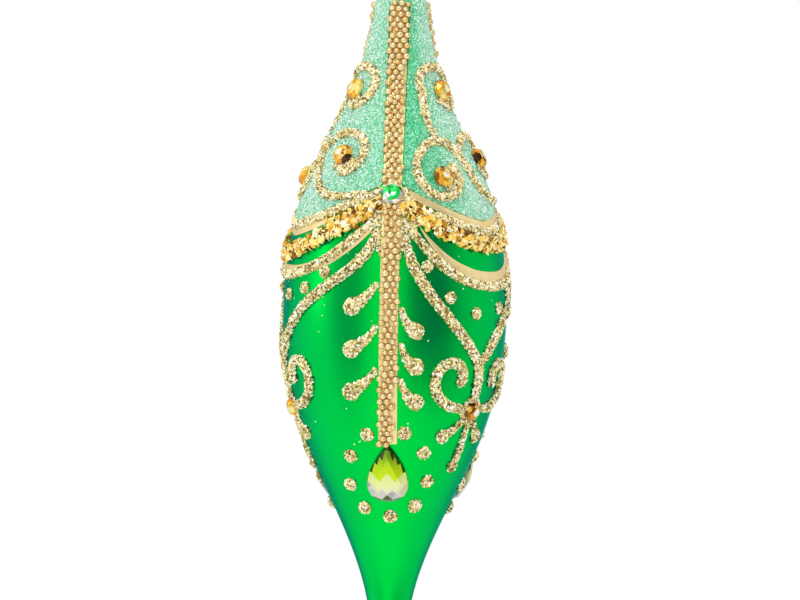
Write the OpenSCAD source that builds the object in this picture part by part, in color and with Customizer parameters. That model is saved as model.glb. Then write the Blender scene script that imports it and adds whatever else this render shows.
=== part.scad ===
// Blown-glass finial ornament with glued trim, a crown cap and a spring-wire hanger.
// Heights are measured up from the tip of the tail. The finished pieces are then
// lowered, so that the origin is the point of the wire loop that a hook bears on.
// The trim repeats in three panels. An angle in a panel is counted in degrees to
// the right of the panel's own vertical band, as seen from outside.

/* [Glass body] */
// Diameter at the belly, the widest place
belly_d = 54; // [45:0.5:65]
// Diameter at the hip, half way down to the tail
hip_d = 36.4; // [32:0.2:42]
// Diameter at the shoulder, half way up to the neck
shoulder_d = 32.4; // [30:0.2:38]
// Diameter at the collar, where the neck begins
collar_d = 11; // [10.4:0.2:14]
// Diameter of the straight neck under the cap
neck_d = 10; // [8.4:0.1:12]
// Diameter where the tail begins
root_d = 10.9; // [9:0.1:13]
// Diameter at the middle of the tail
spike_d = 6.6; // [5.6:0.1:8]
// Diameter of the rounded tip
tip_d = 3.8; // [3.4:0.1:5]
// Thickness of the blown wall
wall = 1; // [0.7:0.1:1.2]
// Height of the tail's slim half
spike_h = 44; // [36:1:60]
// Height from there to the root of the tail
root_h = 16.4; // [14:0.2:20]
// Height from the root to the hip
hip_h = 31.6; // [27:0.2:38]
// Height from the hip to the belly
belly_h = 38.5; // [34:0.5:46]
// Height from the belly to the shoulder
shoulder_h = 41; // [38:0.5:49]
// Height from the shoulder to the collar
collar_h = 33.8; // [31:0.2:40]
// Height from the collar to the straight neck
neck_h = 11.7; // [10:0.1:14]
// Length of the straight neck
rim_h = 9; // [8.4:0.1:12]

/* [Coat and enamel] */
// Thickness of the frosted coat on the shoulder
coat_t = 0.35; // [0.2:0.05:0.5]
// Thickness of the gold enamel
enamel_t = 0.2; // [0.1:0.05:0.4]
// Width of the vertical enamel bands
band_w = 4.4; // [3.8:0.1:5.4]
// Height of the bands' top end above the belly
band_top = 73; // [66:0.5:76]
// Width of the enamel stripes along the swags
stripe_w = 1.5; // [1:0.1:1.8]
// Glue line under every glued piece
glue = 0.08; // [0.06:0.01:0.12]
// Gap between trim that lies side by side
trim_gap = 0.25; // [0.15:0.05:0.4]

/* [Glitter lines] */
// Width of the scroll lines
line_w = 2; // [1.6:0.1:2.4]
// Height of the scroll lines
line_h = 0.9; // [0.6:0.1:1.2]
// Width of the ridges along the swags
ridge_w = 2; // [1.6:0.1:2.2]
// Diameter of the dots round the pear crystals
ring_dot_d = 3.2; // [2.4:0.1:3.6]
// Diameter of the dots under the swags
swag_dot_d = 2.8; // [2:0.1:3.2]

/* [Beads and chips] */
// Diameter of the microbeads
bead_d = 1.35; // [1.1:0.05:1.5]
// Gap between neighbouring beads
bead_gap = 0.07; // [0.05:0.01:0.12]
// Diameter of the gold chips
chip_d = 1.9; // [1.5:0.1:2]
// Thickness of the gold chips
chip_t = 0.5; // [0.3:0.1:0.7]

/* [Stones] */
// Diameter of the green stones where the swags meet
crown_stone_d = 5.4; // [4.6:0.1:6.2]
// Diameter of the amber stones in the upper scrolls
amber_d = 5.2; // [4.4:0.1:5.6]
// Diameter of the amber stones over the tassels
tassel_stone_d = 4.4; // [3.6:0.1:4.6]
// Width of the pear crystals
pear_w = 10; // [8:0.2:11.6]
// Length of the pear crystals
pear_l = 15; // [12.4:0.2:17]
// Height of the pear crystals
pear_h = 2.9; // [2.4:0.1:4]

/* [Cap and hanger] */
// Sheet thickness of the cap
cap_t = 0.5; // [0.4:0.1:0.7]
// Depth of the cap's skirt
skirt_h = 7.5; // [6.4:0.1:8.2]
// How far the hem of the skirt flares out
flare = 2; // [1:0.1:2.6]
// Number of petals round the hem
petals = 12; // [8:1:16]
// Gap between the skirt and the neck
cap_gap = 0.3; // [0.2:0.05:0.5]
// Diameter of the hanger wire
wire_d = 1; // [0.8:0.05:1.2]
// Inner radius of the hanging loop
loop_r = 4; // [3.4:0.1:6]
// Radius of the bends at the foot of the loop
bend_r = 1.3; // [1:0.1:2]
// Straight stretch of wire that slides through the cap
slide_h = 4.6; // [4.2:0.1:7]
// Length of each spring leg
leg_l = 20; // [15:0.5:25]
// Running clearance of the wire in the slot and the neck
wire_gap = 0.3; // [0.2:0.05:0.4]

/* [Hidden] */
panels = 3;
panel = 360 / panels;
mid = panel / 2;

// Steepness of the wall at the stations, in millimetres of radius per millimetre of height.
spike_lean = 0.08;
root_lean = 0.2;
hip_lean = 0.47;
shoulder_lean = -0.56;
collar_lean = -0.12;

// Heights of the stations above the tip.
tip_r = tip_d / 2;
root_z = spike_h + root_h;
hip_z = root_z + hip_h;
belly_z = hip_z + belly_h;
shoulder_z = belly_z + shoulder_h;
collar_z = shoulder_z + collar_h;
neck_z = collar_z + neck_h;
rim_z = neck_z + rim_h;

// Height, radius and lean at each station.
stations = [
    [tip_r, tip_r, 0.02],
    [spike_h, spike_d / 2, spike_lean],
    [root_z, root_d / 2, root_lean],
    [hip_z, hip_d / 2, hip_lean],
    [belly_z, belly_d / 2, 0],
    [shoulder_z, shoulder_d / 2, shoulder_lean],
    [collar_z, collar_d / 2, collar_lean],
    [neck_z, neck_d / 2, 0],
    [rim_z, neck_d / 2, 0]
];
steps_per_station = 8;
skin_step = 3;

// The swags: lowest height above the belly, rise to the band, power of the curve and
// angle of the lowest place. They are laid by hand, and those of the last panel hang askew.
upper_swags = [[20.5, 8.9, 1.5, mid], [20.5, 8.9, 1.5, mid], [19.8, 9.6, 1.5, 50]];
garland_swags = [[15.8, 11.4, 2, mid], [15.8, 11.4, 2, mid], [13, 14.2, 1.7, 44]];
lower_swags = [[6, 21.7, 2.5, mid], [6, 21.7, 2.5, mid], [7.9, 18.6, 2.3, 48]];
// Share of the half panel over which each of them runs.
upper_reach = 0.88;
under_reach = 0.58;
ridge_reach = 0.84;
stripe_reaches = [0.72, 0.72, 0.5];
garland_reach = 0.86;
swag_steps = 22;
stripe_shift = (ridge_w + stripe_w) / 2 + trim_gap;
// Shift of the enamel where it runs over the ridge and takes the place of its upper edge.
over_shift = (ridge_w - stripe_w) / 2;

// Widths along the glitter lines, as a share of their length.
stem_w = 1;
line_widths = [[0, stem_w], [0.12, line_w], [0.9, line_w], [1, line_w * 0.8]];
curl_widths = [[0, stem_w], [0.1, line_w], [0.85, line_w], [0.95, line_w * 1.15], [1, line_w * 0.7]];
dome_share = 0.28;

// Heights of the trim relative to the belly.
crown_stone_z = belly_z + 27;
pear_z = belly_z - 38.9;
band_top_z = belly_z + band_top;
pear_tip_z = pear_z + pear_l / 2 / slope(pear_z);
band_foot_z = pear_tip_z + trim_gap;

// Angles and heights of the amber stones: the three upper volutes and the lower scroll.
volute_a = [33, belly_z + 31.4];
volute_b = [81.5, belly_z + 36.2];
volute_c = [62, belly_z + 52.4];
tassel_top = [54, belly_z - 23.7];
scroll_axis = 55;
// How far round the panel each lower scroll is turned, and where its second vine bows.
scroll_turns = [0, 0, -13];
vine_bows = [[78, belly_z + 3], [78, belly_z + 3], [72, belly_z + 6]];
upper_stones = [volute_a, volute_b, volute_c];

// The bead rows alternate between a full count and one bead fewer.
bead_pitch = bead_d + bead_gap;
bead_row = bead_pitch * sin(60);
beads_across = floor((band_w - bead_d) / bead_pitch) + 1;
stone_room = crown_stone_d / 2 + trim_gap + bead_d / 2;
chips_per_row = 24;
chip_tilt = 16;
chip_seed = 11;

// Levels of the trim above the glass.
coat_top = glue + coat_t;
enamel_top = glue + enamel_t;

// Cap and hanger, from the neck outwards and upwards.
cap_seat = 0.05;
cap_z = rim_z + cap_seat;
skirt_in = neck_d / 2 + cap_gap;
skirt_out = skirt_in + cap_t;
skirt_z = cap_z - skirt_h;
hem_h = 2.6;
rib_r = 0.35;
rib_end = 0.1;
notch_r = 0.9;
notch_room = 0.2;
roll_r = 0.55;
coat_end_z = skirt_z - trim_gap;
wire_x = wire_d / 2 + 0.2;
wire_loop_r = loop_r + wire_d / 2;
bend_a = acos((wire_x + bend_r) / (wire_loop_r + bend_r));
// The bends rest on the ends of the slot, so this is how far they stand above it there.
bend_in = bend_r - wire_d / 2;
bend_rise = sqrt(bend_in ^ 2 - (bend_in - wire_gap) ^ 2);
loop_foot_z = cap_z + cap_t - bend_rise + wire_gap;
loop_z = loop_foot_z + (bend_r + wire_loop_r) * sin(bend_a);
hook_z = loop_z + loop_r;
leg_bend_r = 2;
wire_sides = 12;
leg_x = neck_d / 2 - wall - wire_d / 2 - wire_gap;
leg_a = asin((leg_x - wire_x) / (leg_l + leg_bend_r));

glass_green = [0.05, 0.72, 0.25];
coat_mint = [0.6, 0.85, 0.7];
gold = [0.85, 0.68, 0.3];
pale_gold = [0.93, 0.82, 0.52];
amber = [0.95, 0.6, 0.08];
stone_green = [0.1, 0.75, 0.15];
olive = [0.7, 0.85, 0.1];

ONES = ["glass_body", "glitter_coat", "crown_cap", "hanger_wire"];
THREES = [
    "gold_band", "bead_strip", "upper_stripe", "lower_stripe", "upper_ridge", "lower_ridge",
    "chip_garland", "upper_scroll", "lower_scroll", "tassel_drops", "band_drops", "swag_dots",
    "pear_dots", "pear_crystal", "crown_stone", "amber_stones"
];

$fn = 96;

// Station curve of the glass

// Index of the stretch between two stations that holds this height.
function stretch(z) = [
    for (i = [0:len(stations) - 2])
    if (z <= stations[i + 1][0] || i == len(stations) - 2) i
][0];

// Radius of the glass: a cubic through two stations that keeps the lean at both.
function glass_r(z) = let (
    i = stretch(z),
    a = stations[i],
    b = stations[i + 1],
    span = b[0] - a[0],
    t = (z - a[0]) / span
) (2 * t ^ 3 - 3 * t ^ 2 + 1) * a[1] + (t ^ 3 - 2 * t ^ 2 + t) * span * a[2]
    + (3 * t ^ 2 - 2 * t ^ 3) * b[1] + (t ^ 3 - t ^ 2) * span * b[2];

// Change of that radius with height.
function lean(z) = let (
    i = stretch(z),
    a = stations[i],
    b = stations[i + 1],
    span = b[0] - a[0],
    t = (z - a[0]) / span
) (6 * t ^ 2 - 6 * t) * (a[1] - b[1]) / span + (3 * t ^ 2 - 4 * t + 1) * a[2] + (3 * t ^ 2 - 2 * t) * b[2];

// Length along the wall for each millimetre of height.
function slope(z) = sqrt(1 + lean(z) ^ 2);

// Point of the section, this far outside the wall.
function wall_point(z, out) = [glass_r(z) + out / slope(z), z - out * lean(z) / slope(z)];

// Point in space at an angle and height, this far outside the wall.
function on_glass(angle, z, out) = let (p = wall_point(z, out)) [p[0] * sin(angle), -p[0] * cos(angle), p[1]];

// Direction straight out of the wall.
function glass_out(angle, z) = on_glass(angle, z, 1) - on_glass(angle, z, 0);

// Angle that spans this length round the glass.
function arc_angle(length, z) = length / glass_r(z) * 180 / PI;

// Angle at which a flat-sided band of this half width ends.
function edge_angle(half, z) = asin(half / glass_r(z));

// Evenly spaced heights from one end to the other.
function heights(z0, z1, step) = let (n = ceil((z1 - z0) / step)) [for (k = [0:n]) z0 + (z1 - z0) * k / n];

// Heights at this pitch along the wall.
function rows_up(z, z1, pitch) = z > z1 ? [] : concat([z], rows_up(z + pitch / slope(z), z1, pitch));

function reversed(list) = [for (i = [len(list) - 1:-1:0]) list[i]];

// A list without its first item, to join it to another that ends there.
function rest(list) = [for (i = [1:len(list) - 1]) list[i]];

// Curves in a panel: lists of [angle, height]

function bezier(p0, p1, p2, p3, n) = [
    for (k = [0:n])
    let (t = k / n, s = 1 - t) s ^ 3 * p0 + 3 * s ^ 2 * t * p1 + 3 * s * t ^ 2 * p2 + t ^ 3 * p3
];

// A spiral line that comes in from radius tail_r, settles on ring_r and ends on eye_r.
function volute(centre, tail_r, ring_r, eye_r, from, sweep, n) = [
    for (k = [0:n])
    let (
        t = k / n,
        r = ring_r + (eye_r - ring_r) * t + (tail_r - ring_r) * (1 - t) ^ 6,
        a = from + sweep * t,
        z = centre[1] + r * sin(a) / slope(centre[1])
    ) [centre[0] + arc_angle(r * cos(a), z), z]
];

// Height of a swag at an angle.
function swag_z(swag, angle) = let (
    span = angle < swag[3] ? swag[3] : panel - swag[3]
) belly_z + swag[0] + swag[1] * (abs(angle - swag[3]) / span) ^ swag[2];

// Steepness of a swag at an angle.
function swag_lean(swag, angle) = let (
    z = swag_z(swag, angle),
    step = (angle < swag[3] ? 1 : -1),
    rise = swag_z(swag, angle + step) - z,
    run = step * glass_r(z) * PI / 180
) rise * slope(z) / run;

// Point beside a swag, shifted square to it by this distance.
function beside(swag, angle, shift) = let (
    z = swag_z(swag, angle),
    tilt = atan(swag_lean(swag, angle))
) [angle - arc_angle(shift * sin(tilt), z), z + shift * cos(tilt) / slope(z)];

// A line beside a swag, over this share of the panel.
function swag_line(swag, shift, reach) = [
    for (k = [0:swag_steps]) beside(swag, mid + reach * mid * (2 * k / swag_steps - 1), shift)
];

// The same line seen straight on to the middle of the panel.
function seen(line) = [for (p = line) [glass_r(p[1]) * sin(p[0] - mid), p[1]]];

function mirrored(line) = [for (p = line) [2 * scroll_axis - p[0], p[1]]];

// Shapes shared by the trim

module at_panel(i) rotate([0, 0, panel * (i - 1)]) children();

module hung() translate([0, 0, -hook_z]) children();

// Places children on the wall: x round it, y up it and z out of it.
module seat(angle, z, out) {
    rotate([0, 0, angle])
        translate([0, -glass_r(z), z])
        rotate([90 + atan(lean(z)), 0, 0])
        translate([0, 0, out])
        children();
}

// A layer on the glass between two heights.
module skin(z0, z1, out, thick) {
    zs = heights(z0, z1, skin_step);
    inside = [for (z = zs) wall_point(z, out)];
    outside = [for (z = zs) wall_point(z, out + thick)];
    rotate_extrude() polygon(concat(inside, reversed(outside)));
}

// Extrudes an outline from the axis out through the middle of a panel.
module through_panel() rotate([0, 0, mid]) rotate([90, 0, 0]) linear_extrude(belly_d) children();

// Slot-shaped block through the glass under a band.
module band_block(width, z0, z1) translate([-width / 2, -belly_d, z0]) cube([width, belly_d, z1 - z0]);

function tube_faces(n, sides) = concat(
    [[for (j = [sides - 1:-1:0]) j]],
    [for (k = [0:n - 1]) for (j = [0:sides - 1])
        let (a = k * sides + j, b = k * sides + (j + 1) % sides)
        each [[a, b, b + sides], [a, b + sides, a + sides]]],
    [[for (j = [0:sides - 1]) n * sides + j]]
);

// A raised line of glitter along a curve. Widths is a lookup table over its length.
module stroke(path, widths, out) {
    n = len(path) - 1;
    spots = [for (p = path) on_glass(p[0], p[1], out)];
    points = [
        for (k = [0:n])
        let (
            along = spots[min(k + 1, n)] - spots[max(k - 1, 0)],
            up = glass_out(path[k][0], path[k][1]),
            across = cross(along, up),
            width = lookup(k / n, widths),
            half = across / norm(across) * width / 2,
            high = up * line_h * sqrt(width / line_w),
            base = spots[k]
        )
        each [base - half, base + half, base + 0.72 * (half + high), base + high, base + 0.72 * (high - half)]
    ];
    polyhedron(points, tube_faces(n, 5));
}

// A low dome of glitter.
module dome(d, h) {
    r = (d ^ 2 / 4 + h ^ 2) / (2 * h);
    intersection() {
        translate([0, 0, h - r]) sphere(r);
        cylinder(d = d + 1, h = h + 1);
    }
}

// A drop of glitter: a bowed stem that swells towards a round head.
module drop(start, bow, head, head_d) {
    arc = [(bow[0] - head[0]) * glass_r(head[1]) * PI / 180, (bow[1] - head[1]) * slope(head[1])];
    neck = head + (bow - head) * (head_d / 2 + trim_gap / 2) / norm(arc);
    bowed = bow + (neck - bow) / 2;
    stroke(bezier(start, bow, bowed, neck, 6), [[0, stem_w], [0.5, stem_w * 1.2], [1, head_d * 0.55]], glue);
    seat(head[0], head[1], glue) dome(head_d, head_d * dome_share);
}

// A cut stone. Each tier is a scale of the girdle, a height and a turn in facets.
module cut_stone(girdle, centre, facets, tiers) {
    points = [
        for (tier = tiers)
        for (i = [0:facets - 1])
        let (p = centre + tier[0] * (girdle((i + tier[2]) * 360 / facets) - centre)) [p[0], p[1], tier[1]]
    ];
    last = len(tiers) - 1;
    faces = concat(
        [[for (i = [0:facets - 1]) i]],
        [for (t = [0:last - 1]) for (i = [0:facets - 1])
            let (
                turned = tiers[t][2] > tiers[t + 1][2] ? 1 : 0,
                low = t * facets,
                high = low + facets,
                next = (i + 1) % facets,
                above = (i + turned) % facets,
                above_next = (above + 1) % facets
            )
            each [[low + i, high + above, low + next], [high + above, high + above_next, low + next]]],
        [[for (i = [facets - 1:-1:0]) last * facets + i]]
    );
    polyhedron(points, faces);
}

module round_stone(d) {
    girdle = function(a) [d / 2 * cos(a), d / 2 * sin(a)];
    cut_stone(girdle, [0, 0], 10, [
        [0.9, 0, 0], [1, 0.14 * d, 0], [1, 0.2 * d, 0], [0.76, 0.37 * d, 0.5], [0.5, 0.44 * d, 0]
    ]);
}

// Body and coat

module glass_body() color(glass_green) {
    tip = [for (a = [0:15:75]) [tip_r * sin(a), tip_r * (1 - cos(a))]];
    zs = concat(
        [for (i = [0:len(stations) - 2]) for (k = [0:steps_per_station - 1])
            stations[i][0] + (stations[i + 1][0] - stations[i][0]) * k / steps_per_station],
        [rim_z]
    );
    outside = [for (z = zs) wall_point(z, 0)];
    inside = [for (z = zs) if (z > tip_d) wall_point(z, -wall)];
    hollow_end = [0, inside[0][1] - wall];
    rotate_extrude() polygon(concat(tip, outside, reversed(inside), [hollow_end]));
}

// The coat covers the shoulder and the neck, and leaves the bands and swags bare.
module glitter_coat() color(coat_mint) {
    hems = [for (swag = upper_swags) swag_line(swag, ridge_w / 2 + trim_gap, 1)];
    low = min([for (hem = hems) for (p = hem) p[1]]);
    half = belly_d / 2;
    difference() {
        skin(low, coat_end_z, glue, coat_t);
        for (i = [1:panels]) at_panel(i) {
            band_block(band_w + 2 * trim_gap, low - 1, band_top_z + trim_gap);
            through_panel() polygon(concat([[-half, low - 1]], seen(hems[i - 1]), [[half, low - 1]]));
        }
    }
}

// Bands, beads and swags

module gold_band() color(pale_gold) intersection() {
    skin(band_foot_z, band_top_z, glue, enamel_t);
    band_block(band_w, 0, rim_z);
}

// Staggered rows of microbeads on the band, clear of the stone that sits on it.
module bead_strip() color(gold) {
    zs = rows_up(band_foot_z + bead_d / 2, band_top_z - bead_d / 2, bead_row);
    for (k = [0:len(zs) - 1]) if (abs(zs[k] - crown_stone_z) > stone_room) {
        count = beads_across - k % 2;
        for (j = [0:count - 1]) {
            angle = arc_angle((j - (count - 1) / 2) * bead_pitch, zs[k]);
            translate(on_glass(angle, zs[k], enamel_top + glue / 2 + bead_d / 2))
                sphere(d = bead_d, $fn = 24);
        }
    }
}

module stripe(swag, shift, reach) color(pale_gold) {
    over = swag_line(swag, shift + stripe_w / 2, reach);
    under = swag_line(swag, shift - stripe_w / 2, reach);
    zs = [for (p = concat(over, under)) p[1]];
    intersection() {
        skin(min(zs) - 1, max(zs) + 1, glue, enamel_t);
        through_panel() polygon(concat(seen(under), reversed(seen(over))));
    }
}

module ridge(swag, shift, reach) {
    widths = [[0, ridge_w * 0.5], [0.1, ridge_w], [0.9, ridge_w], [1, ridge_w * 0.5]];
    color(gold) stroke(swag_line(swag, shift, reach), widths, glue);
}

// Under the coat the enamel runs over the ridge on the first panel, and below it on the others.
module upper_stripe(i) {
    swag = upper_swags[i - 1];
    if (i == 1) stripe(swag, over_shift, upper_reach);
    else stripe(swag, -stripe_shift, under_reach);
}

module upper_ridge(i) {
    swag = upper_swags[i - 1];
    if (i == 1) ridge(swag, over_shift - stripe_shift, under_reach);
    else ridge(swag, 0, upper_reach);
}

module lower_stripe(i) stripe(lower_swags[i - 1], stripe_shift, stripe_reaches[i - 1]);

module lower_ridge(i) ridge(lower_swags[i - 1], 0, ridge_reach);

// Two staggered rows of tilted five-sided and six-sided chips.
module chip_garland(i) color(amber) {
    swag = garland_swags[i - 1];
    row_gap = chip_d * 0.46;
    tilts = rands(-chip_tilt, chip_tilt, 4 * chips_per_row, chip_seed);
    lift = glue + chip_t / 2 + chip_d / 2 * sin(chip_tilt) * sqrt(2);
    for (side = [0, 1]) for (k = [0:chips_per_row - 1 - side]) {
        share = 2 * (k + side / 2) / (chips_per_row - 1) - 1;
        spot = beside(swag, mid + garland_reach * mid * share, (2 * side - 1) * row_gap);
        tilt = 2 * (side * chips_per_row + k);
        seat(spot[0], spot[1], lift)
            rotate([tilts[tilt], tilts[tilt + 1], 37 * k])
            cylinder(d = chip_d, h = chip_t, center = true, $fn = 5 + (k + side) % 2);
    }
}

// Scrolls, drops and dots

// A vine that rises from the swag and curls into three volutes, each round a stone.
module upper_scroll() color(gold) {
    rise = bezier([98, belly_z + 27], [84, belly_z + 25.6], [68, belly_z + 26.3], [60, belly_z + 32], 13);
    bend = bezier([60, belly_z + 32], [55, belly_z + 35.3], [48, belly_z + 40.8], [33, belly_z + 40.1], 9);
    curl = volute(volute_a, 9.8, 5.7, 4.6, 90, 320, 24);
    stroke(concat(rise, rest(bend), rest(curl)), line_widths, coat_top + glue);
    stroke(volute(volute_b, 8.4, 6.6, 4.6, 170, -255, 20), line_widths, coat_top + glue);
    lead = bezier([34, belly_z + 41.9], [30, belly_z + 44.5], [29, belly_z + 49], [31, belly_z + 52.4], 6);
    hook = volute(volute_c, 5.9, 7.6, 4.2, 180, -270, 20);
    stroke(concat(lead, rest(hook)), line_widths, coat_top + glue);
}

// Two vines that meet over a stone, and a volute on each side of it.
module lower_scroll(i) color(gold) {
    turn = [scroll_turns[i - 1], 0];
    near_band = edge_angle((band_w + line_w) / 2 + trim_gap, belly_z + 17);
    fork = turn + [53, belly_z - 13];
    vine = bezier([near_band, belly_z + 17], [12, belly_z + 3.5], turn + [42.4, belly_z - 5.5], fork, 20);
    stem_end = turn + tassel_top + [0.4, 3.2];
    stem = bezier(fork, turn + [54.5, belly_z - 15], turn + [55, belly_z - 17], stem_end, 4);
    bow = vine_bows[i - 1];
    other_end = turn + [57.2, belly_z - 11.3];
    other = bezier([panel - near_band, belly_z + 18], [106, belly_z + 6], bow, other_end, 20);
    curl_z = belly_z - 15.9;
    curl = volute([36, curl_z], 9, 5.2, 2.6, -53, -345, 26);
    near_curl = i == panels ? volute([29, curl_z], 6.5, 3.2, 1.7, -53, -345, 26) : curl;
    far_curl = [for (p = mirrored(curl)) p + turn];
    stroke(concat(vine, rest(stem)), line_widths, glue);
    stroke(other, line_widths, glue);
    stroke(near_curl, curl_widths, glue);
    stroke(far_curl, curl_widths, glue);
}

// Three drops that hang under the stone of the lower scroll.
module tassel_drops(i) color(gold) {
    foot = [scroll_turns[i - 1], tassel_top[1] - 2.8];
    drop(foot + [53.5, -0.6], foot + [53.5, -5], foot + [52, -10.6], 2.8);
    drop(foot + [48.5, 0.3], foot + [44, -1.4], foot + [36, -3.4], 3.2);
    drop(foot + [58.5, 0.3], foot + [61, -1.4], foot + [67, -3.4], 3.2);
}

// Drops on both sides of a band: a first head, then more at the same pitch below it.
module band_drops() color(gold) {
    near = band_w / 2 + trim_gap + stem_w / 2;
    for (k = [0:2]) {
        left = belly_z + 0.5 - 10.1 * k;
        right = belly_z - 5.1 - 8.4 * k;
        drop([-edge_angle(near, left + 5.6), left + 5.6], [-arc_angle(4.8, left), left + 2.2],
            [-arc_angle(9, left), left], 4);
        drop([edge_angle(near, right + 5.4), right + 5.4], [arc_angle(3.8, right), right + 2],
            [arc_angle(6.6, right), right], 3.8);
    }
}

// Dots between the swag and the vines, as angles and heights above the belly.
module swag_dots(i) color(gold) {
    even = [[19.5, 10.3], [32, 3], [48.5, -0.6], [69, 0.8], [84, 5.3]];
    askew = [[19.5, 9.8], [34, 5], [54, 3.1], [70, 4.7], [84, 8.6]];
    for (spot = i == panels ? askew : even)
        seat(spot[0], belly_z + spot[1], glue) dome(swag_dot_d, swag_dot_d * dome_share);
}

// A wreath of dots round the pear crystal, open where the band comes down.
module pear_dots() color(gold) {
    count = 9;
    for (k = [0:count - 1]) {
        a = -150 + 38.25 * k;
        z = pear_z - 11.6 * cos(a) / slope(pear_z);
        arc = 9.9 * sin(a);
        beside_band = sign(arc) * (band_w / 2 + glue + ring_dot_d / 2);
        clear = z > band_foot_z && abs(arc) < abs(beside_band) ? beside_band : arc;
        seat(arc_angle(clear, z), z, glue) dome(ring_dot_d, ring_dot_d * dome_share);
    }
}

// Stones

// The outline is a teardrop with its point up; 0.77 is its own width for a width of 1.
// The front is cut in triangles between staggered rows of points on a low dome.
module pear_crystal() color(olive) {
    facets = 18;
    girdle = [
        for (tier = [[0.96, 0], [1, 0.14], [0.99, 0.26]])
        for (k = [0:facets - 1])
        let (a = 360 * k / facets)
        [-tier[0] * pear_w / 2 / 0.77 * sin(a) * sin(a / 2), tier[0] * pear_l / 2 * cos(a), tier[1] * pear_h]
    ];
    rows = [1, 2, 3, 4, 3, 2];
    front = [
        for (k = [0:len(rows) - 1])
        for (j = [0:rows[k] - 1])
        let (
            across = (j - (rows[k] - 1) / 2) * 0.21,
            up = 0.33 - 0.145 * k,
            rise = 1 - 1.5 * across ^ 2 - 1.7 * (up + 0.08) ^ 2
        )
        [pear_w * across, pear_l * up, pear_h * rise]
    ];
    points = concat(girdle, front);
    seat(0, pear_z, glue) hull() polyhedron(points, [[for (k = [0:len(points) - 1]) k]]);
}

module crown_stone() color(stone_green) seat(0, crown_stone_z, enamel_top + glue) round_stone(crown_stone_d);

module amber_stones(i) color(amber) {
    for (spot = upper_stones) seat(spot[0], spot[1], coat_top + glue) round_stone(amber_d);
    seat(tassel_top[0] + scroll_turns[i - 1], tassel_top[1], glue) round_stone(tassel_stone_d);
}

// Cap and hanger

// Section of the pressed sheet: flat top, rolled edge, straight skirt and flared hem.
module cap_section() {
    translate([0, cap_z]) square([skirt_out, cap_t]);
    translate([skirt_in, skirt_z + hem_h]) square([cap_t, skirt_h - hem_h]);
    translate([skirt_in + roll_r + cap_seat, cap_z + cap_t - roll_r]) circle(roll_r);
    translate([skirt_out, skirt_z + hem_h]) circle(roll_r * 0.8);
    polygon([
        [skirt_in, skirt_z + hem_h], [skirt_out, skirt_z + hem_h],
        [skirt_out + flare, skirt_z], [skirt_in + flare, skirt_z]
    ]);
}

module crown_cap() color(gold) difference() {
    union() {
        rotate_extrude() cap_section();
        for (k = [0:2 * petals - 1]) rotate([0, 0, 180 / petals * k])
            translate([skirt_out, 0, skirt_z + hem_h + rib_end])
            cylinder(r = rib_r, h = skirt_h - hem_h - 2 * rib_end, $fn = 24);
    }
    slot_x = 2 * (wire_x + wire_d / 2 + wire_gap);
    slot_y = wire_d + 2 * wire_gap;
    translate([-slot_x / 2, -slot_y / 2, cap_z - 1]) cube([slot_x, slot_y, cap_t + 2]);
    for (k = [0:petals - 1]) rotate([0, 0, 360 / petals * (k + 0.5)])
        translate([skirt_in - notch_room, 0, skirt_z]) rotate([0, 90, 0])
        cylinder(r = notch_r, h = cap_t + flare + 2 * notch_room, $fn = 32);
}

// Points along an arc in the plane of the loop.
function wire_arc(x, z, radius, from, to, n) = [
    for (k = [0:n])
    let (a = from + (to - from) * k / n) [x + radius * cos(a), 0, z + radius * sin(a)]
];

// Right half of the wire, from the foot of its leg up to the top of the loop.
function half_wire() = let (
    bend_z = loop_foot_z - slide_h,
    leg_bend = wire_arc(wire_x + leg_bend_r, bend_z, leg_bend_r, 180 + leg_a, 180, 2),
    loop_bend = wire_arc(wire_x + bend_r, loop_foot_z, bend_r, 180, 180 - bend_a, 5),
    loop = wire_arc(0, loop_z, wire_loop_r, -bend_a, 90, 18),
    foot = leg_bend[0] + leg_l * [sin(leg_a), 0, -cos(leg_a)]
) concat([foot], leg_bend, loop_bend, rest(loop));

// One wire: a loop over the cap, two straights through its slot and two springy legs.
module hanger_wire() color("silver") {
    right = half_wire();
    left = [for (p = rest(reversed(right))) [-p[0], p[1], p[2]]];
    route = concat(right, left);
    n = len(route) - 1;
    points = [
        for (k = [0:n])
        let (
            along = route[min(k + 1, n)] - route[max(k - 1, 0)],
            flat = [0, 1, 0],
            inward = cross(flat, along) / norm(along)
        )
        for (j = [0:wire_sides - 1])
        let (a = 360 * j / wire_sides) route[k] + wire_d / 2 * (cos(a) * flat + sin(a) * inward)
    ];
    polyhedron(points, tube_faces(n, wire_sides));
}

hung() glass_body();
hung() glitter_coat();
hung() crown_cap();
hung() hanger_wire();
for (i = [1:panels]) hung() at_panel(i) {
    gold_band();
    bead_strip();
    upper_stripe(i);
    lower_stripe(i);
    upper_ridge(i);
    lower_ridge(i);
    chip_garland(i);
    upper_scroll();
    lower_scroll(i);
    tassel_drops(i);
    band_drops();
    swag_dots(i);
    pear_dots();
    pear_crystal();
    crown_stone();
    amber_stones(i);
}
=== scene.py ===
"""A blown-glass finial ornament: satin green glass, mint frost, gold glitter, beads, chips and cut stones."""

import math
import random

import bpy
from mathutils import Matrix, Vector


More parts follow.
